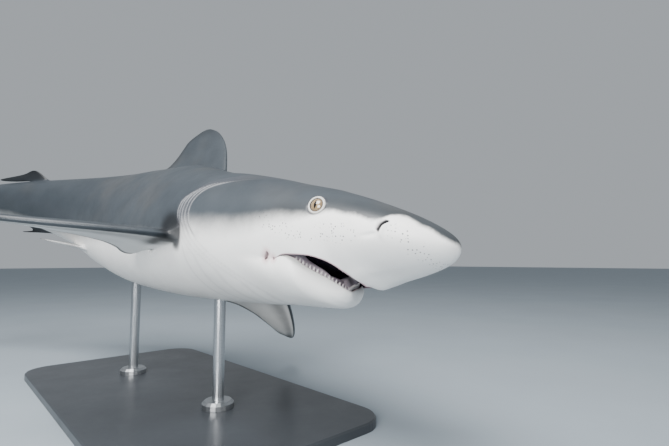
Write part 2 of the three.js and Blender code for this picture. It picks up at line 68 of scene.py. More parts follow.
# The body: station, height above the backbone, depth below it, half width.
STATIONS = [
    (0, 0, 0, 0),
    (8, 12, 13, 22),
    (24, 21, 21.5, 39.5),
    (50, 31.5, 30.5, 57),
    (75, 39.8, 38.5, 69),
    (98, 46.8, 46, 77.5),
    (112, 51, 53.5, 82),
    (126, 54.8, 60, 86),
    (138, 58, 71, 89.5),
    (150, 61, 80, 92.5),
    (165, 65, 84.5, 95.5),
    (200, 72, 89.5, 101),
    (240, 79.5, 94.5, 108.5),
    (300, 91.5, 100.5, 119.5),
    (385, 104, 107.5, 134.5),
    (450, 113, 114, 131.5),
    (520, 126.5, 121, 130),
    (660, 151, 132, 121.5),
    (800, 147, 137, 112),
    (960, 128, 126, 96),
    (1120, 104, 95, 74),
    (1280, 79, 64, 52),
    (1400, 60, 46, 37),
    (1470, 47, 40, 27),
    (1520, 39, 52, 19),
    (1580, 31, 66, 13),
    (1650, 25, 71, 9.5),
    (1730, 20, 64, 7.5),
    (1810, 16, 53, 6),
    (1870, 13, 42, 4.8),
    (1908, 11, 28, 4),
    (1924, 10, 42, 3.6),
    (1955, 8, 41, 3),
    (1982, 6, 29, 2.2),
    (1997, 3, 14, 1.2),
    (2000, 0, 0, 0),
]
BACK_POWER = 0.92  # of a section's sine and cosine: 1 is an ellipse, and less is squarer
BELLY_POWER = 0.92
JAW_POWER = 1.1
LOBE_POWER = 1.5


# ------------------------------------------------------------------ curves
def smooth(low, high, x):
    """0 where x is at low and 1 where it is at high, with soft ends; low may be the greater."""
    t = np.clip((np.asarray(x, float) - low) / (high - low), 0, 1)
    return t * t * (3 - 2 * t)


def mix(a, b, t):
    """a where t is 0, b where it is 1, and straight between them."""
    return a + (b - a) * t


def bell(x, width):
    """1 where x is 0, falling away evenly to both sides."""
    return np.exp(-((x / width) ** 2))


def curve_through(points):
    """A smooth curve through points (x, y) that never overshoots them."""
    xs, ys = np.array(points, float).T
    span = np.diff(xs)
    slope = np.diff(ys) / span
    tangent = np.zeros_like(ys)
    tangent[0], tangent[-1] = slope[0], slope[-1]
    w1 = 2 * span[1:] + span[:-1]
    w2 = span[1:] + 2 * span[:-1]
    bends_on = slope[:-1] * slope[1:] > 0
    before = np.where(bends_on, slope[:-1], 1)
    after = np.where(bends_on, slope[1:], 1)
    tangent[1:-1] = np.where(bends_on, (w1 + w2) / (w1 / before + w2 / after), 0)

    def at(x):
        x = np.clip(np.asarray(x, float), xs[0], xs[-1])
        i = np.clip(np.searchsorted(xs, x, side="right") - 1, 0, len(span) - 1)
        t = (x - xs[i]) / span[i]
        rise = ys[i + 1] - ys[i]
        a = tangent[i] * span[i]
        b = tangent[i + 1] * span[i]
        return ys[i] + t * (a + t * (3 * rise - 2 * a - b + t * (a + b - 2 * rise)))

    return at


def profile(column):
    """One column of the stations as a smooth curve. Near the snout its squares are interpolated, so
    that the tip comes out round."""
    squares = curve_through([(row[0], row[column] ** 2) for row in STATIONS])
    plain = curve_through([(row[0], row[column]) for row in STATIONS])

    def at(s):
        return mix(np.sqrt(np.maximum(0, squares(s))), plain(s), smooth(300, 600, s))

    return at


top_of = profile(1)
depth_of = profile(2)
half_width_of = profile(3)


def belly_power(s):
    """How square the underside's sections are, which changes at the jaw and at the tail's lobe."""
    jaw = smooth(90, 150, s) * (1 - smooth(220, 360, s))
    lobe = smooth(1460, 1600, s)
    return BELLY_POWER + (JAW_POWER - BELLY_POWER) * jaw + (LOBE_POWER - BELLY_POWER) * lobe


def section(s, angle):
    """The skin at station s, at an angle from the fish's left (0) up to its back (90 degrees)."""
    sine, cosine = np.sin(angle), np.cos(angle)
    above = sine > 0
    power = np.where(above, BACK_POWER, belly_power(s))
    height = np.where(above, top_of(s), depth_of(s))
    y = half_width_of(s) * np.sign(cosine) * np.abs(cosine) ** power
    return y, height * np.sign(sine) * np.abs(sine) ** power


def angle_at(s, z):
    """The angle at which the section at station s is at height z."""
    above = z > 0
    power = np.where(above, BACK_POWER, belly_power(s))
    height = np.where(above, top_of(s), depth_of(s))
    share = np.clip(np.abs(z) / np.maximum(height, 1e-6), 0, 1)
    return np.sign(z) * np.arcsin(share ** (1 / power))


# ------------------------------------------------------------------ the bent backbone
STEP = 5


def bend_backbone():
    """Places and turns of the backbone, one every STEP along it, in the fish's own frame."""

    def turned(way, s):
        shares = [row[1] * float(smooth(row[2], row[3], s)) for row in BENDS if row[0] == way]
        return math.radians(sum(shares))

    at, turn = Vector((0, 0, 0)), Quaternion()
    places, turns = [], []
    for s in range(0, TOTAL_LENGTH + 2 * STEP + 1, STEP):
        places.append(at.copy())
        turns.append(np.array(turn.to_matrix()))
        change = [turned(way, s + STEP) - turned(way, s) for way in ("forward", "left", "up")]
        axis = Vector((change[0], change[1], -change[2]))
        at = at + turn @ Vector((-STEP, 0, 0))
        if axis.length > 0:
            turn = turn @ Quaternion(axis.normalized(), axis.length)
    return np.array(places), np.array(turns)


BACKBONE, TURNS = bend_backbone()
TILT = np.array(Euler((math.radians(BANK), math.radians(NOSE_DOWN), 0), "XYZ").to_matrix())
SHIFT = -TILT @ BACKBONE[BALANCE_STATION // STEP]
SHIFT[2] = SNOUT_HEIGHT


def bend(p):
    """Straight fish to bent fish, in the fish's own frame: rows of (s, y, z) to rows of places."""
    p = np.atleast_2d(np.asarray(p, float))
    k = np.clip((p[:, 0] // STEP).astype(int), 0, len(BACKBONE) - 2)
    t = (p[:, 0] / STEP - k)[:, None]
    at = mix(BACKBONE[k], BACKBONE[k + 1], t)
    turn = mix(TURNS[k], TURNS[k + 1], t[:, :, None])
    across = np.stack([np.zeros(len(p)), p[:, 1], p[:, 2]], 1)
    return at + np.einsum("nij,nj->ni", turn, across)


def stand_up(p):
    """The fish's own frame to the room, in millimetres."""
    return np.atleast_2d(p) @ TILT.T + SHIFT


# ------------------------------------------------------------------ camera
# It stands off the snout's right side, near the snout's height, and looks a little upwards.
CAMERA_FROM_SNOUT = (256.9, -421.3, -16.7)
CAMERA_RIGHT = (0.678905, 0.734226, 0)
CAMERA_PITCH = 5
CAMERA_LENS = 23.3
CAMERA_SENSOR = 36


def place_camera():
    """The scene's camera, placed from the snout's tip."""
    data = bpy.data.cameras.new("camera")
    data.lens = CAMERA_LENS
    data.sensor_width = CAMERA_SENSOR
    data.clip_start = 0.02
    camera = bpy.data.objects.new("camera", data)
    right = Vector(CAMERA_RIGHT).normalized()
    ahead = Vector((-right.y, right.x, 0))
    pitch = math.radians(CAMERA_PITCH)
    look = ahead * math.cos(pitch) + Vector((0, 0, math.sin(pitch)))
    axes = Matrix((right, right.cross(look), -look)).transposed().to_4x4()
    at = Vector(stand_up([0, 0, 0])[0]) + Vector(CAMERA_FROM_SNOUT)
    camera.matrix_world = Matrix.Translation(at * MM) @ axes
    bpy.context.scene.collection.objects.link(camera)
    bpy.context.scene.camera = camera


place_camera()

# ------------------------------------------------------------------ jaws
CORNER_ANGLE = math.radians(-37)  # where the corners of the mouth are on the section
CORNER = 214
UPPER_FRONT = 115.6  # the upper lip's front, on the midline
CHIN = 144.5

# The upper lip: station and depth. It lies on the head's own section.
UPPER = [
    (UPPER_FRONT, 54), (117.6, 51.4), (121, 48.6), (128, 45.3), (138, 43), (152, 42),
    (176, 43), (190, 44), (199, 45.8), (207, 49.3), (CORNER, 52.3),
]
LIP_SAG = 3.2  # how far the upper lip's front hangs below the snout's underside
# The lower lip: station, distance out and depth.
LOWER = [
    (CHIN, 0, 67), (145, 4, 66.6), (147.2, 9, 65.6), (151.4, 16, 63.4), (157.4, 24.5, 60.6),
    (164.6, 34, 57.8), (171, 43, 55.6), (177, 52, 53.3), (183.5, 61, 50), (188.6, 67.5, 46.8),
    (194, 74, 45.6), (201, 79.5, 47), (207, 81, 49.8), (CORNER, 80.6, 52.4),
]
# The lower jaw's underside: station and depth.
UNDERSIDE = [
    (CHIN, 67.5), (144.9, 71), (146, 74), (148.4, 77.5), (152.4, 81.5), (159, 85),
    (165, 88), (200, 91.5), (240, 94.7), (300, 100.5), (385, 107.5),
]
upper_depth = curve_through(UPPER)
lip_out = curve_through([row[:2] for row in LOWER])
lip_depth = curve_through([(row[0], row[2]) for row in LOWER])
underside = curve_through(UNDERSIDE)
LIP_TURN = math.radians(30)  # the lower lip stands this far round above the jaw's widest place
LIP_DROP = 7  # and this far above it
JAW_ROUND = 0.88  # power of the jaw's sections: under 1 is fuller than round
LIP_POINTS = 300


def jaw_section(s, share):
    """The lower jaw's skin at station s, from its lip (share 0) to the midline below (1)."""
    behind = s > CORNER
    y_there, z_there = section(s, CORNER_ANGLE)
    y_lip = np.where(behind, y_there, lip_out(s))
    lip = np.where(behind, -z_there, lip_depth(s))
    open_there = 1 - smooth(180, CORNER, s)
    start = LIP_TURN * open_there
    deep = underside(s)
    drop = np.minimum(LIP_DROP, 0.4 * (deep - lip)) * open_there
    angle = mix(start, -math.pi / 2, share)
    sine, cosine = np.sin(angle), np.maximum(np.cos(angle), 0)
    y = y_lip * (cosine / np.cos(start)) ** JAW_ROUND
    above = drop * sine / np.maximum(np.sin(start), 1e-6)
    below = -(deep - lip - drop) * np.abs(sine) ** JAW_ROUND
    return y, np.where(sine > 0, above, below) - lip - drop


def along_lip(points):
    """Shares of a lip's length, 0 at the corner of the mouth and 1 at the midline."""
    lengths = np.r_[0, np.cumsum(np.linalg.norm(np.diff(points, axis=0), axis=1))]
    return lengths / lengths[-1]


def lip_lines():
    """Both lips from the corner of the mouth to the midline, each as (shares, places)."""
    turn = np.sin(np.linspace(0, math.pi / 2, LIP_POINTS))
    s = mix(CORNER, UPPER_FRONT, turn)
    z = np.maximum(-upper_depth(s), -depth_of(s))
    y, z = section(s, angle_at(s, z))
    y = y * (1 - smooth(UPPER_FRONT + 6, UPPER_FRONT, s)) ** 0.5
    upper = np.stack([s, y, z], 1)
    s = mix(CORNER, CHIN, turn)
    lower = np.stack([s, lip_out(s), -lip_depth(s)], 1)
    return (along_lip(upper), upper), (along_lip(lower), lower)


UPPER_LIP, LOWER_LIP = lip_lines()


def on_lip(lip, share):
    """Places on a lip at shares of its length."""
    return np.stack([np.interp(share, lip[0], lip[1][:, k]) for k in range(3)], 1)


def lip_sag(share):
    """The upper lip hangs lower towards its front."""
    return -LIP_SAG * UPWARDS * smooth(0.55, 1, share)[:, None]


# ------------------------------------------------------------------ the sheet of rows and columns
MOUTH_COLUMNS = 12
HALF_COLUMNS = 32
LIP_ROW = 18  # the upper lip
JAW_ROW = 32  # the lower lip; the rows between line the mouth
HEAD_STEP = 9
TAIL_STEP = 12
HEAD_START = 215  # the station of JAW_ROW on the back
HEAD_STOP = 602
HEAD_ROWS = (HEAD_STOP - HEAD_START) // HEAD_STEP
TAIL_ROWS = (TOTAL_LENGTH - HEAD_STOP) // TAIL_STEP + 1
ROWS = JAW_ROW + HEAD_ROWS + TAIL_ROWS
PALATE_ROW = 24.5  # the rows before this line the roof of the mouth
THROAT = (206, 0, -50)
THROAT_ROOF = 9  # heights of the lining over the middle of the throat
THROAT_FLOOR = -6


def plain_angle(column):
    """The angle of a column, counted from the midline of the belly up to that of the back."""
    mouth = mix(-math.pi / 2, CORNER_ANGLE, column / MOUTH_COLUMNS)
    rest = mix(CORNER_ANGLE, math.pi / 2, (column - MOUTH_COLUMNS) / (HALF_COLUMNS - MOUTH_COLUMNS))
    return np.where(column < MOUTH_COLUMNS, mouth, rest)


def plain_station(row):
    """The station of a row behind the mouth, away from the jaws."""
    rows = row - JAW_ROW
    rows = rows * (1 - 0.55 * np.exp(-np.maximum(rows, 0) / 1.3))  # closer together at the lip
    tail = HEAD_STOP + (TOTAL_LENGTH - HEAD_STOP) * (rows - HEAD_ROWS) / TAIL_ROWS
    return np.where(rows < HEAD_ROWS, mix(HEAD_START, HEAD_STOP, rows / HEAD_ROWS), tail)


def catmull(keys, t):
    """Points at t (0 to 1) along a curve through keys[i][n]."""
    last = len(keys) - 1
    x = np.clip(t, 0, 1) * last
    i = np.clip(x.astype(int), 0, last - 1)
    f = (x - i)[:, None]
    n = np.arange(len(t))
    a, b, c, d = (keys[np.clip(i + k, 0, last), n] for k in (-1, 0, 1, 2))
    return b + 0.5 * f * (c - a + f * (2 * a - 5 * b + 4 * c - d + f * (3 * (b - c) + d - a)))


# The mouth's lining, as distances inwards from a lip and heights over it: the upper lip's edge and
# the palate, then the floor, the gum's crest, the groove behind the lower lip, and its edge.
PALATE = [(1.6, -1.1), (3.8, -0.9), (5.6, 2.4), (9.5, 7), (28, 12)]
GUM = [(46, 4), (30, 11.5), (19, 12.5), (11.5, 7.5), (7.4, 1.6), (3.8, -1), (1.5, 0.9)]


def mouth_pocket(share, t):
    """The lining of the mouth, from the upper lip (t 0) over the throat to the lower lip (t 1)."""
    upper, lower = on_lip(UPPER_LIP, share) + lip_sag(share), on_lip(LOWER_LIP, share)
    size = smooth(0, 0.2, share)[:, None]
    throat = np.array(THROAT) + upper * (0, 0.4, 0)

    def inside(lip, inward, up):
        way = throat - lip
        way[:, 2] = 0
        reach = np.linalg.norm(way, axis=1, keepdims=True)
        step = np.minimum(inward * size, 0.6 * reach)
        return lip + way / np.maximum(reach, 1) * step + UPWARDS * up * size

    def at_throat(up):
        return mix(mix(upper, lower, 0.5), throat, 0.9 * size) + UPWARDS * up * size

    keys = [upper]
    keys += [inside(upper, inward, up) for inward, up in PALATE]
    keys += [at_throat(THROAT_ROOF), at_throat(THROAT_FLOOR)]
    front = 1 - 0.45 * smooth(0.7, 1, share)[:, None]
    keys += [inside(lower, inward, up * front) for inward, up in GUM]
    keys += [lower]
    return catmull(np.array(keys), t)


PECTORAL_COLUMN = 13  # the columns that the roots of the paired fins are on
PELVIC_COLUMN = 8


def root_pull(s, angle, side):
    """Turns the columns near a paired fin's root so that one of them runs along it."""
    pulled = angle
    for fins, column in ((PECTORALS, PECTORAL_COLUMN), (PELVICS, PELVIC_COLUMN)):
        home = float(plain_angle(np.array(column)))
        beside = 1 - smooth(math.radians(9), math.radians(45), np.abs(angle - home))
        for this_side, fin in fins.items():
            station, chord = fin["root"]["station"], fin["chord"]
            back = np.clip(s - station, -20, chord + 20)
            z = fin["root"]["up"] - back * math.sin(math.radians(fin["pitch"])) - fin["sag"]
            near = smooth(station - 90, station - 8, s)
            near = near * (1 - smooth(station + chord + 8, station + chord + 90, s))
            pull = (angle_at(s, z) - home) * near * beside
            pulled = pulled + np.where(side == this_side, pull, 0)
    return pulled


# How far the columns above the mouth are turned up, by station, in degrees.
CHEEK_LIFT = curve_through(
    [
        (0, 0), (90, 0), (150, 14), (170, 13), (185, 11), (197, 8), (205, 5), (210, 2.6),
        (CORNER, 0), (TOTAL_LENGTH, 0),
    ]
)


def cheek_lift(s, angle):
    """Turns the columns above the mouth up, so that they run clear of the upper lip."""
    beside = 1 - smooth(0, math.radians(48), np.abs(angle - CORNER_ANGLE))
    return np.radians(CHEEK_LIFT(s)) * beside


def before_lift(s, lifted):
    """The angle that the lift turns to this one."""
    angle = lifted
    for _ in range(12):
        angle = lifted - cheek_lift(s, angle)
    return angle


def wrap(row, column):
    """A place on the sheet to the straight fish: (s, y, z) and how deep in the mouth it is."""
    side = np.where(column < 0, -1, 1)
    column = np.abs(column)
    share = np.clip((MOUTH_COLUMNS - column) / MOUTH_COLUMNS, 0, 1)
    in_mouth = column < MOUTH_COLUMNS
    plain = plain_angle(column)
    upper, lower = on_lip(UPPER_LIP, share), on_lip(LOWER_LIP, share)
    above = smooth(CORNER_ANGLE, math.radians(20), plain)
    upper_station = np.where(in_mouth, upper[:, 0], mix(CORNER - 1.5, 150, above))
    lower_station = np.where(in_mouth, lower[:, 0], mix(CORNER + 1.5, HEAD_START, above))

    # the snout, as far as the upper lip
    ahead = np.clip(row / LIP_ROW, 0, 1)
    s = upper_station * ahead**1.4
    lip_angle = before_lift(upper[:, 0], angle_at(upper[:, 0], upper[:, 2]))
    towards_lip = np.where(in_mouth, mix(plain, lip_angle, smooth(0.2, 1, ahead)), plain)
    y, z = section(s, towards_lip + cheek_lift(s, towards_lip))
    snout = np.stack([s, y, z], 1) + lip_sag(share) * smooth(0.72, 1, ahead)[:, None]

    # the mouth's lining, and the cheek above it
    t = np.clip((row - LIP_ROW) / (JAW_ROW - LIP_ROW), 0, 1)
    s = mix(upper_station, lower_station, t)
    y, z = section(s, plain + cheek_lift(s, plain))
    lining = np.where(in_mouth[:, None], mouth_pocket(share, t), np.stack([s, y, z], 1))

    # behind the mouth
    s = plain_station(np.maximum(row, JAW_ROW))
    s = s + (lower_station - HEAD_START) * (1 - smooth(HEAD_START, 335, s))
    y, z = section(s, root_pull(s, plain, side))
    body = np.stack([s, y, z], 1)
    at_lip = np.interp(-s, -LOWER_LIP[1][:, 0], LOWER_LIP[0], left=0)
    jaw_share = np.clip((share - at_lip) / np.maximum(1 - at_lip, 1e-6), 0, 1)
    y, z = jaw_section(s, jaw_share)
    jaw = np.stack([s, y, z], 1)
    body = np.where(in_mouth[:, None], mix(jaw, body, smooth(CORNER, 300, s)[:, None]), body)

    place = np.where((row < LIP_ROW)[:, None], snout, lining)
    place = np.where((row > JAW_ROW)[:, None], body, place)
    place[:, 1] *= side
    deep = np.where(in_mouth & (row > LIP_ROW) & (row < JAW_ROW), np.minimum(t, 1 - t), 0)
    return place, deep


# ------------------------------------------------------------------ fins
# Each fin's front and rear edges, (height from the root, distance back), and its thickness by
# height; a crown over 1 makes its upper side fuller than its lower.
FINS = {
    "pectoral": {
        "front": [
            (-40, -2), (0, 0), (40, 6), (90, 19), (150, 42),
            (210, 74), (265, 113), (305, 152), (321, 177),
        ],
        "rear": [
            (-40, 100), (0, 106), (2, 150), (8, 190), (18, 198), (28, 192), (45, 168),
            (80, 142), (130, 132), (190, 138), (250, 158), (300, 182), (321, 187),
        ],
        "thickness": [(-40, 22), (0, 19), (60, 16), (160, 13.5), (260, 9.5), (321, 3)],
        "crown": 1.25,
    },
    "first_dorsal": {
        "front": [
            (-45, -46), (0, -8), (42, 23), (73, 48), (95, 70),
            (114, 93), (131, 118), (143, 142), (149, 164),
        ],
        "rear": [
            (-45, 188), (-12, 210), (-8, 286), (-1, 324), (7, 326), (16, 298), (23, 276), (31, 258),
            (46, 247), (63, 239), (85, 233), (107, 227), (120, 218), (132, 206), (143, 193), (149, 181),
        ],
        "thickness": [(-45, 26), (0, 21), (60, 14), (120, 8), (149, 2.4)],
    },
    "second_dorsal": {
        "front": [(-20, -16), (0, 2), (13, 17), (24, 30), (30, 40), (31.5, 46)],
        "rear": [
            (-20, 50), (0, 62), (3, 110), (8, 148), (12, 156),
            (16, 132), (19, 102), (23, 77), (30, 58), (31.5, 53),
        ],
        "thickness": [(-20, 12), (0, 9), (18, 5.5), (31.5, 1.8)],
    },
    "anal": {
        "front": [(-20, -26), (0, 0), (12, 40), (22, 78), (31, 110), (35, 126)],
        "rear": [
            (-20, 56), (0, 66), (2, 138), (5, 160), (8, 156),
            (11, 122), (15, 98), (20, 96), (28, 112), (35, 133),
        ],
        "thickness": [(-20, 12), (0, 9), (18, 5.5), (35, 1.8)],
    },
    "pelvic": {
        "front": [(-30, -6), (0, 0), (30, 18), (55, 38), (72, 56), (80, 68)],
        "rear": [
            (-30, 84), (0, 90), (2, 122), (6, 142), (14, 142),
            (28, 120), (48, 100), (66, 88), (80, 76),
        ],
        "thickness": [(-30, 15), (0, 11), (40, 7.5), (80, 2)],
    },
    "lower_caudal": {
        "front": [(-30, -4), (0, 0), (50, 14), (110, 42), (160, 74), (200, 104), (214, 118)],
        "rear": [
            (-30, 128), (0, 122), (25, 104), (60, 96), (110, 102), (160, 116), (200, 130), (214, 128),
        ],
        "thickness": [(-30, 17), (0, 13), (80, 9), (214, 2)],
    },
}
for outline in FINS.values():
    outline["height"] = outline["front"][-1][0]
    for line in ("front", "rear", "thickness"):
        outline[line] = curve_through(outline[line])

PECTORAL_ROOT = {"station": 443, "out": 118, "up": -44}
PELVIC_ROOT = {"station": 985, "out": 60, "up": -90}
# How each paired fin is held, in degrees; sag is how far below its root it leaves the skin.
PECTORALS = {
    -1: {"droop": 15.2, "curl": 5.7, "pitch": 13.5, "sweep": 2.7, "twist": -14, "sag": 2},
    1: {"droop": 20.2, "curl": -1.7, "pitch": 22.8, "sweep": 11, "twist": -27.5, "sag": 3},
}
PELVIC_HOLD = {"droop": 2, "curl": 0, "pitch": 2, "sweep": 0, "twist": 0, "sag": 0}
PELVICS = {side: dict(PELVIC_HOLD) for side in (-1, 1)}
for held in PECTORALS.values():
    held.update(outline=FINS["pectoral"], root=PECTORAL_ROOT, chord=104)
for held in PELVICS.values():
    held.update(outline=FINS["pelvic"], root=PELVIC_ROOT, chord=90)

THICKEST = 0.2  # share of the chord where a fin is thickest
THINNEST_EDGE = 0.35  # half the thickness of a fin's edges
FREE_TIP_GAP = 1.6  # how far a free rear tip is held off the skin
CURL_STEPS = 24  # that a paired fin's bend is followed in


def fin_section(outline, height, turn):
    """Distance back and to the side, at an angle round the fin's section from its front edge."""
    front = outline["front"](height)
    chord = np.maximum(3, outline["rear"](height) - front)
    share = 0.5 - 0.5 * np.cos(turn)
    nose = np.clip(1 - share / THICKEST, 0, 1)
    tail = np.clip((share - THICKEST) / (1 - THICKEST), 0, 1)
    plump = np.where(share < THICKEST, np.sqrt(1 - nose**2), 1 - tail**1.3)
    facing = np.where(np.abs(np.sin(turn)) < 1e-6, 0, np.sign(np.sin(turn)))
    crown = 1 + facing * (outline.get("crown", 1) - 1)
    half = outline["thickness"](height) / 2 * plump * crown + THINNEST_EDGE
    return front + chord * share, facing * half


def median_fin(outline, station, up):
    """A fin on the midline, as a function of height and turn; up is 1 on the back and -1 below."""
    edge = top_of if up > 0 else depth_of
    base = float(outline["rear"](0))
    fall = (float(edge(station + base)) - float(edge(station))) / base

    def at(height, turn):
        back, side = fin_section(outline, height, turn)
        z = float(edge(station)) + fall * back + height
        by_tip = (height > -20) & (back > 0.6 * base)
        z = np.where(by_tip, np.maximum(z, edge(station + back) + FREE_TIP_GAP), z)
        return bend(np.stack([station + back, side, up * z], 1))

    return at


def paired_fin(held, side):
    """A pectoral or pelvic fin, as a function of height and turn; side is 1 on the left."""
    outline, root = held["outline"], held["root"]
    turn_there = TURNS[round(root["station"] / STEP)]
    back, left, up = -turn_there[:, 0], turn_there[:, 1], turn_there[:, 2]
    at_root = bend([root["station"], side * root["out"], root["up"]])[0]
    span = outline["height"]
    sweep = math.radians(held["sweep"])

    def droop_at(u):
        return np.radians(held["droop"] + held["curl"] * np.maximum(0, u) / span)

    def at(height, turn):
        along, thick = fin_section(outline, height, turn)
        u = height * math.cos(sweep) - along * math.sin(sweep)
        v = height * math.sin(sweep) + along * math.cos(sweep)
        pitch = np.radians(held["pitch"] + held["twist"] * np.maximum(0, u) / span)
        steps = (np.arange(CURL_STEPS) + 0.5) / CURL_STEPS
        way = droop_at(u[:, None] * steps)
        out, down = np.cos(way).mean(1) * u, np.sin(way).mean(1) * u
        sink = v * np.sin(pitch) - thick * np.cos(pitch)
        out = out - sink * np.sin(droop_at(u))
        rise = -down - sink * np.cos(droop_at(u))
        backwards = v * np.cos(pitch) + thick * np.sin(pitch)
        return at_root + np.outer(backwards, back) + side * np.outer(out, left) + np.outer(rise, up)

    return at


def opening(start, stop, columns):
    """An opening in the sheet: its first and last rows, the nearest to two stations behind the
    mouth, and its columns, which go on past the midline of the back for a fin that is on it."""
    rows = np.arange(JAW_ROW, ROWS + 1)
    stations = plain_station(rows)
    ends = tuple(int(rows[np.argmin(np.abs(stations - s))]) for s in (start, stop))
    return {"rows": ends, "columns": columns}


ON_BACK = (HALF_COLUMNS - 1, HALF_COLUMNS + 1)
ON_BELLY = (-1, 1)
# How each fin grows from its opening. Its first rings, the neck, lead to the height where the fin
# proper begins: lift at its front and tail at its rear.
FIN_PLANS = {
    "first_dorsal": dict(hole=opening(614, 842, ON_BACK), station=627, up=1, lift=9, tail=-6),
    "second_dorsal": dict(hole=opening(1268, 1344, ON_BACK), station=1276, up=1, lift=4, tail=0),
    "anal": dict(hole=opening(1230, 1312, ON_BELLY), station=1240, up=-1, lift=4, tail=0),
    "lower_caudal": dict(hole=opening(1458, 1590, ON_BELLY), station=1462, up=-1, lift=12, tail=12),
}
FIN_RINGS = {
    "first_dorsal": {"rings": 44, "neck": 5},
    "second_dorsal": {"rings": 18, "neck": 4},
    "anal": {"rings": 20, "neck": 4},
    "lower_caudal": {"rings": 34, "neck": 5},
    "pectoral": {"rings": 58, "neck": 6},
    "pelvic": {"rings": 22, "neck": 5},
}
PAIRED = {
    "pectoral": dict(start=434, stop=556, column=PECTORAL_COLUMN, held=PECTORALS, lift=16, tail=1),
    "pelvic": dict(start=978, stop=1084, column=PELVIC_COLUMN, held=PELVICS, lift=14, tail=2),
}
for name, plan in FIN_PLANS.items():
    plan.update(FIN_RINGS[name], fin=name)
for fin, pair in PAIRED.items():
    for side, word in ((1, "left"), (-1, "right")):
        middle = side * pair["column"]
        hole = opening(pair["start"], pair["stop"], (middle - 1, middle + 1))
        plan = dict(fin=fin, hole=hole, side=side, held=pair["held"][side])
        plan.update(FIN_RINGS[fin], lift=pair["lift"], tail=pair["tail"])
        FIN_PLANS[fin + "_" + word] = plan


def in_opening(hole, row, column):
    """Whether places on the sheet are inside an opening."""
    past = (column < 0) & (hole["columns"][1] > HALF_COLUMNS)
    column = np.where(past, column + 2 * HALF_COLUMNS, column)
    low, high = hole["columns"]
    return (hole["rows"][0] < row) & (row < hole["rows"][1]) & (low < column) & (column < high)


# ------------------------------------------------------------------ making the sheet
EYE = {"station": 151, "out": 78.5, "up": 17.5, "radius": 14}
EYE_WINDOW = {"rows": (14.75, 22.75), "columns": (17.25, 23.5)}  # modelled in rings instead


def face_centres(bm):
    """Rows and columns of the middles of the sheet's faces."""
    return np.array([f.calc_center_median()[:2] for f in bm.faces])


# How many times the sheet is halved: from one station to another, from one angle up from the side
# to another, in degrees, and the times.
HALVED = [
    (0, 600, -90, 90, 1),  # head
    (590, 880, 60, 90, 1),  # first dorsal
    (950, 1115, -90, -20, 1),  # pelvics
    (1240, 1370, 45, 90, 1),  # second dorsal
    (1200, 1340, -90, -45, 1),  # anal
    (1430, 1620, -90, -40, 1),  # lower lobe of the tail
    (0, 240, -90, 42, 2),  # face
    (300, 424, -33, 44, 2),  # gills
    (424, 475, -17, 44, 2),  # gills over the pectorals
]
# Where it is halved three times, apart from the lips: stations and heights.
FINEST = {"nostril": (48, 72, -18, 13), "corner": (CORNER - 4, CORNER + 22, -62, -40)}


def wanted_levels(centres):
    """How many times each face of the sheet is halved."""
    row, column = centres.T
    p, _ = wrap(row, column)
    s, z = p[:, 0], p[:, 2]
    angle = np.degrees(plain_angle(np.abs(column)))
    level = np.zeros(len(s), int)
    for start, stop, low, high, times in HALVED:
        level[(start < s) & (s < stop) & (low < angle) & (angle < high)] = times
    at_lips = (np.abs(row - LIP_ROW - 1.5) < 2) | (np.abs(row - JAW_ROW + 1) < 2.5)
    level[at_lips & (np.abs(column) < MOUTH_COLUMNS + 1)] = 3
    for start, stop, low, high in FINEST.values():
        level[(start < s) & (s < stop) & (low < z) & (z < high)] = 3
    return level


def make_sheet():
    """The flat sheet, finest round the mouth and nostrils, with its openings cut out."""
    bm = bmesh.new()
    bmesh.ops.create_grid(bm, x_segments=ROWS, y_segments=2 * HALF_COLUMNS, size=1)
    for v in bm.verts:
        v.co = ((v.co.x + 1) / 2 * ROWS, v.co.y * HALF_COLUMNS, 0)
    for level in (1, 2, 3):
        wanted = wanted_levels(face_centres(bm)) >= level
        edges = {e for f, yes in zip(list(bm.faces), wanted) if yes for e in f.edges}
        bmesh.ops.subdivide_edges(bm, edges=list(edges), cuts=1, use_grid_fill=True)
    row, column = face_centres(bm).T
    gone = in_opening(EYE_WINDOW, row, np.abs(column))
    for plan in FIN_PLANS.values():
        gone = gone | in_opening(plan["hole"], row, column)
    faces = [f for f, yes in zip(list(bm.faces), gone) if yes]
    bmesh.ops.delete(bm, geom=faces, context="FACES")
    return bm


# ------------------------------------------------------------------ folds and openings in the skin
# Gill slits: the station of the rearmost point, how far it bends forward at its upper and lower
# ends, and the heights of these ends. The upper part of each is a shallow fold.
GILLS = [
    (402, 110, 34, 70, -47),
    (416, 85, 29, 64, -45),
    (429, 60, 22, 54, -41),
    (441, 44, 15, 44, -36),
    (452, 27, 9, 32, -30),
]
GILL_MIDDLE = 1
GILL_LIP = 3.4  # height of a slit's front lip
GILL_DEPTH = 4


def gill_distances(p):
    """For each slit: how far behind it a place is, and how much of the slit reaches its height."""
    for rearmost, upper_bend, lower_bend, top, bottom in GILLS:
        height = p[:, 2] - GILL_MIDDLE
        above = height > 0
        extent = np.where(above, top, -bottom)
        bend_there = np.where(above, upper_bend, lower_bend)
        share = np.clip(height / extent, -2, 2)
        line = rearmost - bend_there * share**2
        reach = np.where(above, 1 - smooth(0.55, 1.0, share), 1 - smooth(0.6, 1.05, -share))
        yield (p[:, 0] - line) / np.hypot(1, 2 * bend_there * share / extent), reach


def gill_steps(p):
    """Each slit's front lip stands up, and the skin drops behind it."""
    rise = np.zeros(len(p))
    for behind, reach in gill_distances(p):
        step = smooth(-1.8, 1.6, behind)
        lip = GILL_LIP * np.exp(np.minimum(behind, 0) / 7) * (1 - step)
        groove = GILL_DEPTH * np.exp(-np.maximum(behind, 0) / 4.5) * step
        rise += (lip - groove) * reach
    return rise


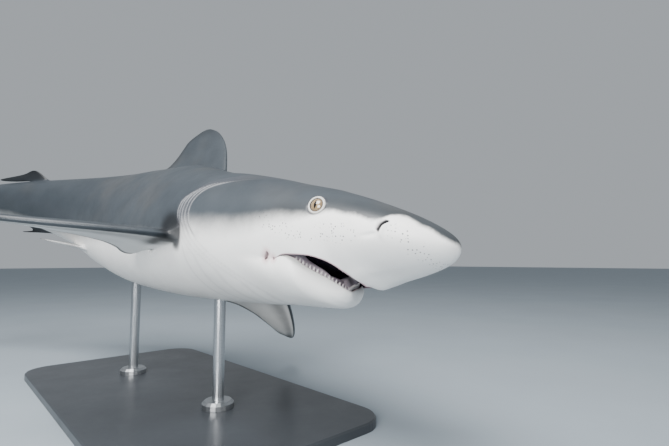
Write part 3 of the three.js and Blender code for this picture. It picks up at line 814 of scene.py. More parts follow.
def push_out(p, amounts):
    """Moves places out of the straight fish's skin."""
    s = p[:, 0]
    width = np.maximum(half_width_of(s), 1)
    height = np.maximum(np.where(p[:, 2] > 0, top_of(s), depth_of(s)), 1)
    out = np.stack([0 * s, p[:, 1] / width**2, p[:, 2] / height**2], 1)
    out /= np.maximum(np.linalg.norm(out, axis=1, keepdims=True), 1e-9)
    return p + out * amounts[:, None]


NOSTRIL = np.array([(56.5, 7), (63.2, -5)])  # station and height of the slit's two ends
NOSTRIL_BOW = 1.6  # how far the slit's middle is ahead of its ends
NOSTRIL_DEPTH = 4.5
FLAP_HEIGHT = 1.7
NOSTRIL_FOLD = np.array([(64, -9), (88, -17)])
FOLD_DEPTH = 1.3


def distance_to_line(p, ends):
    """Along and across a line between two places given as (station, height)."""
    way = ends[1] - ends[0]
    length = np.linalg.norm(way)
    way = way / length
    off = p[:, [0, 2]] - ends[0]
    along = off @ way
    return along / length, off @ np.array([-way[1], way[0]])


def nostril_place(p):
    """Along and across the nostril's slit, which is bowed forwards."""
    along, across = distance_to_line(p, NOSTRIL)
    return along, across + NOSTRIL_BOW * ((2 * along - 1) ** 2 - 0.5)


def nostril_rise(p):
    """The slit, the flap ahead of it, and the fold that runs back from it."""
    along, across = nostril_place(p)
    reach = smooth(-0.2, 0.25, along) * (1 - smooth(0.75, 1.2, along))
    groove = NOSTRIL_DEPTH * bell(across, np.where(across > 0, 2.6, 1.5)) * reach
    flap = FLAP_HEIGHT * bell(across + 4, 2.4) * smooth(-0.2, 0.6, along) * (1 - smooth(1, 1.6, along))
    behind, over = distance_to_line(p, NOSTRIL_FOLD)
    fold = FOLD_DEPTH * bell(over, 2.6) * smooth(-0.1, 0.2, behind) * (1 - smooth(0.3, 1, behind))
    return flap - groove - fold


FURROW = np.array([(229, -53.5), (224, -48)])
FURROW_DEPTH = 4.2
FURROW_EDGE = 1.4  # height of its raised edge


def furrow_rise(p):
    """The short furrow behind each corner of the mouth."""
    along, across = distance_to_line(p, FURROW)
    reach = smooth(-0.35, 0.2, along) * (1 - smooth(0.75, 1.3, along))
    return (FURROW_EDGE * bell(across - 3.6, 2.4) - FURROW_DEPTH * bell(across, 1.8)) * reach


# Round spots on the flank: station and height of the middle, half length and half height.
AXIL = (478, -38, 44, 29)  # the hollow over the pectoral fin's root
AXIL_SHADE = (472, -36, 48, 32)  # painted shade in that hollow
ROOT_SHADE = (444, -45, 24, 25)  # and painted shade just ahead of the root
AXIL_DEPTH = 6.5


def from_spot(p, spot):
    """How far each place is from a spot's middle, as a share of the spot's size."""
    station, height, length, tall = spot
    return np.hypot((p[:, 0] - station) / length, (p[:, 2] - height) / tall)


def axil_hollow(p):
    """The skin sinks between the last gill slit and the root of the pectoral fin."""
    return -AXIL_DEPTH * (1 - smooth(0.2, 1.5, from_spot(p, AXIL)))


def skin_relief(p):
    """Models the gills, furrows, hollows and nostrils in the straight fish's skin."""
    p = push_out(p, gill_steps(p) + furrow_rise(p) + axil_hollow(p))
    return push_out(p, np.where(p[:, 0] < 90, nostril_rise(p), 0))


# The eye's surround, from outside in: distance from the eye's axis, and height over the middle of
# the eyeball along that axis; None is on the skin. The last rings line the socket.
LID_RINGS = [(17, None), (15.4, None), (14.2, None), (13.4, 10.1), (12.7, 10.3), (12.2, 11.2)]
LID_RINGS += [(11.6, 12.1), (10.8, 12.5), (10, 12.3), (9.4, 11.7), (9.05, 11)]
SOCKET_RINGS = [(9.3, 10.7), (11, 9.2), (13.2, 6), (14.6, 0), (12, -8), (6, -13), (0, -14.7)]
WINDOW_RINGS = 7  # rings that lead from the window's edge to the first of these
EYE_FORWARD = math.radians(17)  # the eye looks outwards and this far forwards
EYE_FLAT = 0.95  # height of the lids' opening to its length
EYE_BACKWARDS = np.array([math.cos(EYE_FORWARD), math.sin(EYE_FORWARD), 0])
EYE_AXIS = np.array([-math.sin(EYE_FORWARD), math.cos(EYE_FORWARD), 0])
EYE_CENTRE = np.array([EYE["station"], EYE["out"], EYE["up"]])


def skin_over_eye(away):
    """How high the skin is over a place in the plane through the eyeball's middle."""
    at = EYE_CENTRE + away
    height = 9.0
    for _ in range(4):
        s, y, z = at + EYE_AXIS * height
        height += float(section(s, angle_at(s, z))[0]) - y
    return height


def window_edges(bm, side):
    """The edges of the eye's window on one side."""
    found = []
    for e in bm.edges:
        near = all(v.co.y * side > 60 for v in e.verts)
        near = near and all(abs(v.co.x - EYE["station"]) < 40 for v in e.verts)
        near = near and all(abs(v.co.z - EYE["up"]) < 40 for v in e.verts)
        if e.is_boundary and near:
            found.append(e)
    return found


def add_eye_rings(bm, side, socket, lid):
    """Grows the lids and the socket inwards from the window in the sheet."""
    near = window_edges(bm, side)
    rings = [LID_RINGS[0]] * (WINDOW_RINGS - 1) + LID_RINGS + SOCKET_RINGS
    for count, (radius, height) in enumerate(rings):
        grown = bmesh.ops.extrude_edge_only(bm, edges=near)["geom"]
        verts = [g for g in grown if isinstance(g, bmesh.types.BMVert)]
        near = [g for g in grown if isinstance(g, bmesh.types.BMEdge) and g.is_boundary]
        for v in verts:
            off = np.array([v.co.x, v.co.y * side, v.co.z]) - EYE_CENTRE
            back, up = off @ EYE_BACKWARDS, off @ UPWARDS / EYE_FLAT
            angle = math.atan2(up, back)
            reach = mix(math.hypot(back, up), radius, 1 / max(1, WINDOW_RINGS - count))
            away = (EYE_BACKWARDS * math.cos(angle) + UPWARDS * math.sin(angle) * EYE_FLAT) * reach
            over = skin_over_eye(away) if height is None else height
            place = EYE_CENTRE + away + EYE_AXIS * over
            v.co = (place[0], place[1] * side, place[2])
            v[lid] = reach
            v[socket] = float(count >= WINDOW_RINGS - 1 + len(LID_RINGS))


SHEET = ("row", "column", "lining", "socket", "lid")  # kept for each vertex of the sheet
NO_LID = 60  # a distance from the eye's axis that is well outside the lids


def straight_fish(bm):
    """Wraps the sheet round the straight fish and models what is in its skin."""
    for name in SHEET:
        bm.verts.layers.float.new(name)
    rows, columns, lining, socket, lid = bm.verts.layers.float.values()
    verts = list(bm.verts)
    row, column = np.array([v.co[:2] for v in verts]).T
    p, deep = wrap(row, column)
    skin = deep == 0
    p[skin] = skin_relief(p[skin])
    for v, at, r, c, d in zip(verts, p, row, column, deep):
        v.co = at
        v[rows] = r
        v[columns] = c
        v[lining] = d
        v[lid] = NO_LID
    for side in (-1, 1):
        add_eye_rings(bm, side, socket, lid)


# ------------------------------------------------------------------ growing the fins
def opening_loop(hole):
    """Rows and columns round an opening, from the middle of its front edge over the upper side."""
    (first, last), (low, high) = hole["rows"], hole["columns"]
    middle = (low + high) / 2
    half = [(first, middle), (first, (middle + high) / 2), (first, high)]
    half += [(first + k / 2, high) for k in range(1, 2 * (last - first))]
    half += [(last, high), (last, (middle + high) / 2)]
    other = [(last, middle)] + [(r, 2 * middle - c) for r, c in half[:0:-1]]
    return half + other


def fin_loop(plan):
    """An opening's loop in the order that the fin's section runs in: on the right and on the back
    the sheet's columns run the other way."""
    loop = opening_loop(plan["hole"])
    if plan.get("side", 1) < 0 or plan.get("up", -1) > 0:
        across = sum(plan["hole"]["columns"])
        loop = [(r, across - c) for r, c in loop]
    return loop


def round_section(count):
    """Turns round a fin's section, and the shares of the chord that they are at."""
    turn = 2 * math.pi * np.arange(count) / count
    return turn, 0.5 - 0.5 * np.cos(turn)


def crowded(t):
    """Moves rings closer together towards a fin's root and towards its tip."""
    eased = t * t * (3 - 2 * t) if t > 0.5 else 2 * t * t
    return mix(t, eased, 0.35)


NECK_DEPTH = 8  # how far below the fin proper its outline is followed in the neck


def fin_rings(plan, root):
    """Rings of places from the loop of a fin's root out to its tip, in the fish's own frame."""
    outline = FINS[plan["fin"]]
    if "side" in plan:
        at = paired_fin(plan["held"], plan["side"])
    else:
        at = median_fin(outline, plan["station"], plan["up"])
    count = len(root)
    turn, share = round_section(count)
    begin = mix(plan["lift"], plan["tail"], smooth(0.45, 1, share))
    made = [root]
    for k in range(1, plan["neck"] + 1):
        t = k / plan["neck"]
        outer = at(mix(begin - NECK_DEPTH, begin, t), turn)
        made.append(mix(root, outer, float(smooth(0, 1, t))))
    for k in range(1, plan["rings"] + 1):
        made.append(at(mix(begin, outline["height"], crowded(k / plan["rings"])), turn))
    # the last ring is pressed flat, so that it closes along the tip
    last = made[-1]
    made.append((last + last[(-np.arange(count)) % count]) / 2)
    return np.array(made)


def key_of(row, column):
    """A name for a vertex of the sheet, which is at whole eighths of rows and columns; both ends of
    the sheet meet on the midline of the back."""
    if column <= -HALF_COLUMNS:
        column += 2 * HALF_COLUMNS
    if column > HALF_COLUMNS:
        column -= 2 * HALF_COLUMNS
    return round(row * 8), round(column * 8)


# Patches of pores: station and height of the middle, and half their length and height.
PORES = [
    (205, -14, 30, 9), (178, -20, 22, 8), (236, 0, 16, 8),
    (42, -4, 13, 10), (30, -16, 14, 9), (150, -22, 26, 6), (112, -14, 30, 12),
]


def pore_patches(p):
    """1 where the skin has pores and 0 where it has none."""
    strength = np.zeros(len(p))
    for spot in PORES:
        strength = np.maximum(strength, 1 - smooth(0.6, 1.15, from_spot(p, spot)))
    return strength


def axil_painted_shade(p):
    """Painted shade in the hollow over the pectoral fin's root and just ahead of it."""
    over = (1 - smooth(0.4, 1.15, from_spot(p, AXIL_SHADE))) * smooth(-74, -56, p[:, 2])
    return np.maximum(over, 1 - smooth(0.6, 1.25, from_spot(p, ROOT_SHADE)))


# Where grey turns to white: station and height.
BOUNDARY = curve_through(
    [
        (0, -1), (11, 4), (31, 13), (50, 17.5), (56, 15), (64, 7.5), (74, 6.5), (87, 9), (105, 10),
        (125, 11), (138, 8), (155, 4), (182, 0), (207, -2), (243, -12), (281, -20), (326, -27),
        (420, -38), (520, -62), (700, -67), (950, -64), (1200, -52), (1450, -30), (1600, -38),
        (TOTAL_LENGTH, -20),
    ]
)
AWAY = 20.0  # the distance, in mm, that is painted where a slit, furrow or nostril is further off


def past_ends(along, ends):
    """How far past a line's ends a place is that is this share along it."""
    return np.maximum(np.maximum(-along, along - 1), 0) * np.linalg.norm(ends[1] - ends[0])


def furrow_distance(p):
    """How far a place is from the short furrow behind the mouth's corner, or from the corner."""
    along, across = distance_to_line(p, FURROW)
    beyond = past_ends(along, FURROW)
    corner = np.hypot(p[:, 0] - CORNER, p[:, 2] + lip_depth(CORNER))
    return np.minimum(np.minimum(np.hypot(across, beyond), corner + 1), AWAY)


def paint_values(p, row, lining, socket, lid):
    """What the skin's material needs to know at each place on the straight fish."""
    s, z = p[:, 0], p[:, 2]
    slit, highlight_rim = np.full(len(p), AWAY), np.full(len(p), AWAY)
    # distances to the gill slits, for the painted shade in and round them, and to the rim ahead of
    # each, for its painted highlight
    for behind, reach in gill_distances(p):
        slit = np.minimum(slit, np.abs(behind - 1.2) + (1 - reach) * 5)
        highlight_rim = np.minimum(highlight_rim, np.abs(behind + 3) + (1 - reach) * 3)
    along, across = nostril_place(p)
    across = np.where(across > 0, 0.6 * across, across)  # the slit is widest behind its flap
    nostril = np.minimum(np.hypot(across, past_ends(along, NOSTRIL)), AWAY)
    return {
        "shade": z - BOUNDARY(s),
        "station": s,
        "lining": lining,
        "palate": np.where(row < PALATE_ROW, 1, 0),
        "socket": socket,
        "lid": lid,
        "slit": slit,
        "highlight_rim": highlight_rim,
        "nostril": np.where(np.abs(p[:, 1]) > 20, nostril, AWAY),
        "dusk_and_shade": axil_painted_shade(p),
        "pores": pore_patches(p),
        "furrow": np.where(np.abs(p[:, 1]) > 50, furrow_distance(p), AWAY),
    }


# Paint of the fins on the midline: shade, dusk all over, more dusk at the tip and the heights where
# that begins and is full, and more dusk on the rear edge.
MEDIAN_PAINT = {
    "first_dorsal": (46, 0.15, 0.35, (0.6, 1), 0.35),
    "second_dorsal": (30, 0.7, 0.3, (0.2, 0.9), 0.3),
    "anal": (30, 0.7, 0.3, (0.2, 0.9), 0.3),
    "lower_caudal": (12, 0, 0.5, (0.6, 1), 0.5),
}
GREY_BELOW = {-1: 0.11, 1: 0.045}  # share of a pectoral fin's chord that the grey wraps under


def fin_paint(plan, ring_count, count):
    """How grey (over 0) or white (under 0) a fin is at each place of its rings, and how dusky or in
    painted shade.
    """
    turn, share = round_section(count)
    t = np.linspace(0, 1, ring_count)[:, None]
    rear = smooth(0.9, 1, share)
    if plan["fin"] == "pectoral":
        upper = np.sin(turn) > 0
        wraps = GREY_BELOW[plan["side"]]
        shade = np.where(upper, 34, mix(-26, 34, 1 - smooth(0.5 * wraps, wraps, share)))
        in_front = 1 - smooth(0.2, 0.5, share)
        # painted shade on the underside just behind the leading edge
        painted_shade_beneath = smooth(0.05, 0.14, share) * in_front
        dusk_and_shade = np.where(upper, 0.3 + 0.5 * rear, 0.12 + 0.4 * painted_shade_beneath + rear)
        # painted shade at the root, next to the painted shade over the hollow, and a dusky tip
        dusk_and_shade = dusk_and_shade + 0.95 * (1 - smooth(0.06, 0.2, t)) * in_front + smooth(0.62, 0.92, t)
    elif plan["fin"] == "pelvic":
        shade = 20 * np.sin(turn)
        dusk_and_shade = 0.7 * smooth(0.7, 1, t) + 0.4 * rear
    else:
        shade, plain, at_tip, reach, at_rear = MEDIAN_PAINT[plan["fin"]]
        dusk_and_shade = plain + at_tip * smooth(*reach, t) + at_rear * rear
    return shade, np.clip(dusk_and_shade, 0, 1)


PAINT = (
    "shade", "station", "lining", "palate", "socket", "lid",
    "slit", "highlight_rim", "nostril", "dusk_and_shade", "pores", "furrow",
)


def painted_mesh(name, bm, values):
    """A bmesh becomes a mesh that carries the paint's values."""
    mesh = bpy.data.meshes.new(name)
    bm.to_mesh(mesh)
    bm.free()
    for key in PAINT:
        layer = mesh.attributes.new(key, "FLOAT", "POINT")
        layer.data.foreach_set("value", np.asarray(values[key], np.float32).ravel())
    return mesh


def fin_mesh(name, root, paint_there):
    """One fin, from its root's loop in the skin and the paint's values there."""
    plan = FIN_PLANS[name]
    rings = fin_rings(plan, root)
    n, count = rings.shape[:2]
    bm = bmesh.new()
    bmesh.ops.create_grid(bm, x_segments=n - 1, y_segments=count, size=1)
    order = sorted(bm.verts, key=lambda v: (round(v.co.x, 5), round(v.co.y, 5)))
    for k, v in enumerate(order):
        ring, spot = divmod(k, count + 1)
        v.co = rings[ring, spot % count]
        v.index = k
    bm.verts.sort()

    # the skin's paint runs out over the neck
    spread = smooth(0, plan["neck"] + 3, np.arange(n))[:, None]
    shade, dusk_and_shade = fin_paint(plan, n, count)
    paint = {"shade": shade, "dusk_and_shade": dusk_and_shade, "station": paint_there["station"]}
    paint.update({key: AWAY for key in ("lid", "slit", "highlight_rim", "nostril", "furrow")})
    values = {}
    for key in PAINT:
        spots = mix(paint_there[key], paint.get(key, 0), spread)
        values[key] = np.concatenate([spots, spots[:, :1]], 1)
    return painted_mesh(name, bm, values)


MERGE_WITHIN = 0.02


def make_skin():
    """The skin with all its fins, as one bmesh in the fish's own frame."""
    bm = make_sheet()
    straight_fish(bm)
    layers = bm.verts.layers.float
    at = np.array([v.co[:] for v in bm.verts])
    row, column, lining, socket, lid = (np.array([v[layers[n]] for v in bm.verts]) for n in SHEET)
    bend_verts(bm.verts)
    for name in SHEET:
        layers.remove(layers[name])
    values = paint_values(at, row, lining, socket, lid)
    parts = [painted_mesh("skin", bm, values)]
    spots = {key_of(r, c): k for k, (r, c) in enumerate(zip(row, column)) if r > JAW_ROW}
    for name, plan in FIN_PLANS.items():
        ids = [spots[key_of(r, c)] for r, c in fin_loop(plan)]
        parts.append(fin_mesh(name, bend(at[ids]), {key: values[key][ids] for key in PAINT}))

    joined = bmesh.new()
    for mesh in parts:
        joined.from_mesh(mesh)
        bpy.data.meshes.remove(mesh)
    bmesh.ops.remove_doubles(joined, verts=joined.verts, dist=MERGE_WITHIN)
    loose = [v for v in joined.verts if not v.link_faces]
    bmesh.ops.delete(joined, geom=loose, context="VERTS")
    return joined


# ------------------------------------------------------------------ pieces
FLESH = [
    "head", "lower_jaw", "trunk", "tail_stem", "caudal_upper_lobe", "caudal_lower_lobe",
    "first_dorsal_fin", "second_dorsal_fin", "anal_fin", "pectoral_fin_left", "pectoral_fin_right",
    "pelvic_fin_left", "pelvic_fin_right",
]


def bend_verts(verts):
    """Moves vertices from the straight fish to the bent one."""
    for v, place in zip(verts, bend([v.co[:] for v in verts])):
        v.co = place


def add_piece(name, bm):
    """A finished bmesh in the fish's own frame becomes a piece that stands in the room."""
    bm.normal_update()
    bmesh.ops.recalc_face_normals(bm, faces=bm.faces)
    mesh = bpy.data.meshes.new(name)
    bm.to_mesh(mesh)
    bm.free()
    points = np.zeros(len(mesh.vertices) * 3)
    mesh.vertices.foreach_get("co", points)
    mesh.vertices.foreach_set("co", (stand_up(points.reshape(-1, 3)) * MM).ravel())
    mesh.polygons.foreach_set("use_smooth", [True] * len(mesh.polygons))
    mesh.update()
    piece = bpy.data.objects.new(name, mesh)
    bpy.context.scene.collection.objects.link(piece)
    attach(piece, "root")
    return piece


CORNEA = 0.035  # how far the front of the eye stands out, as a share of the eyeball's radius


def add_eyeball(side):
    """A glass eye; "gaze" gives each place's distance back, up and along the eye's axis."""
    bm = bmesh.new()
    bmesh.ops.create_uvsphere(bm, u_segments=72, v_segments=48, radius=EYE["radius"])
    gaze = bm.verts.layers.float_vector.new("gaze")
    for v in bm.verts:
        back, up, along = v.co
        v[gaze] = (back, up, along)
        bulge = 1 + CORNEA * float(smooth(8, 13, along))
        place = EYE_CENTRE + EYE_BACKWARDS * back + UPWARDS * up + EYE_AXIS * along * bulge
        v.co = (place[0], place[1] * side, place[2])
    bend_verts(bm.verts)
    name = "left" if side > 0 else "right"
    piece = add_piece("eyeball_" + name, bm)
    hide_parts("eye_" + name)
    return piece


# Teeth: how many on each side of a jaw, how far inside the lip they stand, how high their roots are
# over it, the height and width of the largest, and how far they lean inwards.
TEETH = {
    "lower": {"count": 15, "inward": 5.2, "root": -1.6, "height": 8.6, "width": 4.2, "lean": 0.15},
    "upper": {"count": 14, "inward": 6.8, "root": 6.4, "height": -7, "width": 5.6, "lean": 0.5},
}
TOOTH_ROW = (0.27, 0.985)  # shares of the lip that the teeth stand between
TOOTH_FOOT = 0.36  # share of a tooth's height that its broad foot takes up


def tooth_girth(t):
    """How thick a tooth is at a share of its height, as a share of its width."""
    if t < 0.001 or t > 0.999:
        return 0
    if t < TOOTH_FOOT:
        return math.sin(math.pi * (t + 0.35) ** 2) ** 0.5
    return (1 - t) / (1 - TOOTH_FOOT)


def tooth(bm, root, along, inward, height, width, lean):
    """One tooth: a flattened spike on a broad foot, pointing up or down and leaning inwards."""
    made = bmesh.ops.create_uvsphere(bm, u_segments=12, v_segments=9, radius=0.5)["verts"]
    for v in made:
        turn = math.atan2(v.co.y, v.co.x)
        t = v.co.z + 0.5
        across = math.cos(turn) * tooth_girth(t) * width / 2
        deep = math.sin(turn) * tooth_girth(t) + lean * abs(height) / 2 * t * t
        v.co = Vector(root + along * across + inward * deep + UPWARDS * height * t)


def tooth_stand(jaw, share):
    """Where a tooth of the left side stands, and the ways along the lip and inwards there."""
    lip = LOWER_LIP if jaw == "lower" else UPPER_LIP
    place = on_lip(lip, share)[0]
    if jaw == "upper":
        place = place + lip_sag(share)[0]
    along = on_lip(lip, share + 0.012)[0] - on_lip(lip, share - 0.012)[0]
    along = along / np.linalg.norm(along)
    inward = np.array([along[1], -along[0], 0]) / math.hypot(along[0], along[1])
    if inward[1] > 0:
        inward = -inward
    row = TEETH[jaw]
    return place + inward * row["inward"] + UPWARDS * row["root"], along, inward


def add_teeth():
    """All the teeth of both jaws, as one piece."""
    bm = bmesh.new()
    for jaw, row in TEETH.items():
        for side in (-1, 1):
            mirror = np.array([1, side, 1])
            for k in range(row["count"]):
                share = mix(*TOOTH_ROW, (k + 0.5) / row["count"])
                stand = [way * mirror for way in tooth_stand(jaw, np.array([share]))]
                size = 0.72 + 0.28 * math.sin(math.pi * mix(0.15, 0.85, share))
                tooth(bm, *stand, row["height"] * size, row["width"] * size, row["lean"])
    bend_verts(bm.verts)
    return add_piece("teeth", bm)


TONGUE = {"front": 166, "back": 214, "half_width": 30, "top": -50.5, "thickness": 9, "crease": 0.9}


def add_tongue():
    """A low, rounded pad that lies on the floor of the mouth."""
    bm = bmesh.new()
    bmesh.ops.create_uvsphere(bm, u_segments=48, v_segments=24, radius=1)
    middle = (TONGUE["front"] + TONGUE["back"]) / 2
    half = (TONGUE["back"] - TONGUE["front"]) / 2
    for v in bm.verts:
        back = v.co.x
        width = TONGUE["half_width"] * (0.82 + 0.18 * back)
        crease = TONGUE["crease"] * bell(v.co.y, 0.12) * max(v.co.z, 0)
        top = TONGUE["top"] - TONGUE["thickness"] / 2
        v.co = (middle + half * back, v.co.y * width, top + v.co.z * TONGUE["thickness"] / 2 - crease)
    bend_verts(bm.verts)
    return add_piece("tongue", bm)


skin = add_piece("skin", make_skin())
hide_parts(*FLESH)
eyeballs = [add_eyeball(side) for side in (-1, 1)]
teeth = add_teeth()
tongue = add_tongue()


# ------------------------------------------------------------------ materials
SOFT = {"interpolation_type": "SMOOTHSTEP"}  # a range with soft ends
OPEN = {"clamp": False}  # a straight range that goes on past its ends


def linear(hex_colour):
    """An sRGB hex colour as linear red, green, blue and alpha."""
    values = [int(hex_colour[k : k + 2], 16) / 255 for k in (1, 3, 5)]
    return [v / 12.92 if v <= 0.04045 else ((v + 0.055) / 1.055) ** 2.4 for v in values] + [1]


def add_node(tree, kind, settings=None, inputs=None):
    """Adds a node with its settings and inputs. An input goes by its name or number, and its value
    is a number, a colour or another node's output."""
    node = tree.nodes.new("ShaderNode" + kind)
    for name, value in (settings or {}).items():
        setattr(node, name, value)
    for name, value in (inputs or {}).items():
        if isinstance(value, bpy.types.NodeSocket):
            tree.links.new(value, node.inputs[name])
        else:
            node.inputs[name].default_value = value
    return node


def start_material(name, **finish):
    """A new material, its nodes and its shader, with the finish set on the shader's own inputs."""
    made = bpy.data.materials.new(name)
    made.use_nodes = True
    shader = made.node_tree.nodes["Principled BSDF"]
    for name, value in finish.items():
        shader.inputs[name.replace("_", " ")].default_value = value
    return made, made.node_tree, shader


def read_fields(tree, grains, painted=(), place=None):
    """The fields that a material's patterns are made from, by name: noise whose grain is given as
    (size in mm, detail, roughness), and values painted on the mesh."""
    place = place or add_node(tree, "TexCoord").outputs["Object"]
    fields = {}
    for name, (size_mm, detail, roughness) in grains.items():
        inputs = {"Vector": place, "Scale": 1000 / size_mm, "Detail": detail, "Roughness": roughness}
        fields[name] = add_node(tree, "TexNoise", None, inputs).outputs["Fac"]
    for name in painted:
        fields[name] = add_node(tree, "Attribute", {"attribute_name": name}).outputs["Fac"]
    return fields


def coat(tree, colour, coats, fields):
    """Paints coats over a colour. A coat has a strength, a colour and masks. A mask is a field that
    goes from 0 to 1, or a field with its values where the coat begins and where it is full."""
    under = linear(colour) if isinstance(colour, str) else colour
    for strength, over, *masks in coats:
        factor = strength
        for name, *reach in masks:
            start, full = reach or (0, 1)
            inputs = {"Value": fields[name], "From Min": start, "From Max": full, "To Max": factor}
            factor = add_node(tree, "MapRange", SOFT if reach else None, inputs).outputs["Result"]
        over = linear(over) if isinstance(over, str) else over
        under = add_node(tree, "Mix", {"data_type": "RGBA"}, {0: factor, 6: under, 7: over}).outputs[2]
    return under


def emboss(tree, shader, bumps, fields):
    """Presses bumps into a surface, one over the other: field, depth in mm and strength."""
    under = {}
    for name, depth_mm, strength in bumps:
        inputs = {"Height": fields[name], "Distance": depth_mm * MM, "Strength": strength, **under}
        under = {"Normal": add_node(tree, "Bump", None, inputs).outputs["Normal"]}
    tree.links.new(under["Normal"], shader.inputs["Normal"])


def vary_gloss(tree, shader, field, least, most):
    """Lets the roughness follow a field from 0 to 1."""
    inputs = {"Value": field, "To Min": least, "To Max": most}
    rough = add_node(tree, "MapRange", OPEN, inputs).outputs["Result"]
    tree.links.new(rough, shader.inputs["Roughness"])


# Grain of the skin's patterns: size in mm, detail and roughness. The scales are 0.5 mm across in
# life and are drawn 1.3 mm across, so that they show.
SKIN_GRAINS = {
    "wander": (25, 3, 0.5),
    "fine_wander": (4, 3, 0.5),
    "mottle": (60, 4, 0.6),
    "bronze": (130, 2, 0.5),
    "pale": (45, 4, 0.5),
    "patches": (18, 3, 0.5),
    "gum": (6, 3, 0.5),
    "scales": (1.3, 2, 0.5),
    "dents": (22, 3, 0.5),
    "gloss": (35, 3, 0.5),
}
PORE_SPACING_MM = 4
MARKS = [
    # the dusk on the fins' tips and edges, painted shade over the pectoral fins' roots, in the hollow
    # there and under their leading edges, and the pores
    (0.92, "#17191c", ("dusk_and_shade", 0, 1)),
    (0.92, "#3c3d42", ("dots",)),
    # gill slits: painted shade round them, a painted highlight on the rim ahead of them, and painted
    # shade inside
    (0.45, "#5f5c62", ("slit", 9, 0)),
    (0.2, "#d9dbdc", ("highlight_rim", 2.4, 0.6)),
    (1, "#121114", ("slit", 2.9, 1.5)),
    # nostrils: painted shade round each slit, and darker painted shade in it
    (0.5, "#8e8486", ("nostril", 3.4, 1)),
    (1, "#121114", ("nostril", 2, 1)),
    # furrows behind the corners of the mouth: pink skin round them, and painted shade in the crease
    (0.6, "#c79a9c", ("furrow", 11, 1.5)),
    (1, "#3d272d", ("furrow", 3.8, 1.3)),
    # lids: a dark line round a white ring, and a dark inner edge
    (0.75, "#3d3f44", ("lid", 16, 13.6), ("lid", 12.1, 12.6)),
    (1, "#c4c2bd", ("lid", 12.7, 12.1), ("lid", 9.1, 9.7)),
    (1, "#1b1719", ("lid", 9.6, 9.2)),
]


def mouth_colour(tree, fields):
    """Pink lips, mauve gum with a dark groove at its foot, and painted shade on the roof and deep
    inside.
    """
    gum = coat(tree, "#b0a2ae", [(1, "#d0c3cc", ("gum",))], fields)
    # the roof: mauve at its front, with painted shade further in
    roof = coat(tree, "#8d7880", [(1, "#1c1822", ("lining", 0.1, 0.2))], fields)
    coats = [
        # painted shade deep in the mouth
        (1, "#1a1620", ("lining", 0.39, 0.45)),
        (0.8, "#4b3747", ("lining", 0.07, 0.12), ("lining", 0.24, 0.18)),
        (1, roof, ("palate",)),
        (1, "#c7a3aa", ("lining", 0.1, 0.03)),
    ]
    return coat(tree, gum, coats, fields)


def grey_share(tree, fields):
    """Over 1 in the grey and under -1 in the white. The edge between them wanders by up to 6 mm, and
    goes from sharp on the snout to soft behind the eye."""
    away = fields["shade"]
    for name, most in (("wander", 5), ("fine_wander", 1.25)):
        inputs = {"Value": fields[name], "To Min": -most, "To Max": most}
        step = add_node(tree, "MapRange", OPEN, inputs).outputs["Result"]
        away = add_node(tree, "Math", {"operation": "ADD"}, {0: away, 1: step}).outputs["Value"]
    inputs = {"Value": fields["station"], "From Min": 90, "From Max": 330, "To Min": 4, "To Max": 26}
    edge = add_node(tree, "MapRange", SOFT, inputs).outputs["Result"]
    return add_node(tree, "Math", {"operation": "DIVIDE"}, {0: away, 1: edge}).outputs["Value"]


def pore_dots(tree, fields):
    """Dots in the patches where the skin has pores."""
    place = add_node(tree, "TexCoord").outputs["Object"]
    inputs = {"Vector": place, "Scale": 1000 / PORE_SPACING_MM, "Randomness": 0.7}
    away = add_node(tree, "TexVoronoi", None, inputs).outputs["Distance"]
    inputs = {"Value": away, "From Min": 0.27, "From Max": 0.18, "To Max": fields["pores"]}
    return add_node(tree, "MapRange", SOFT, inputs).outputs["Result"]


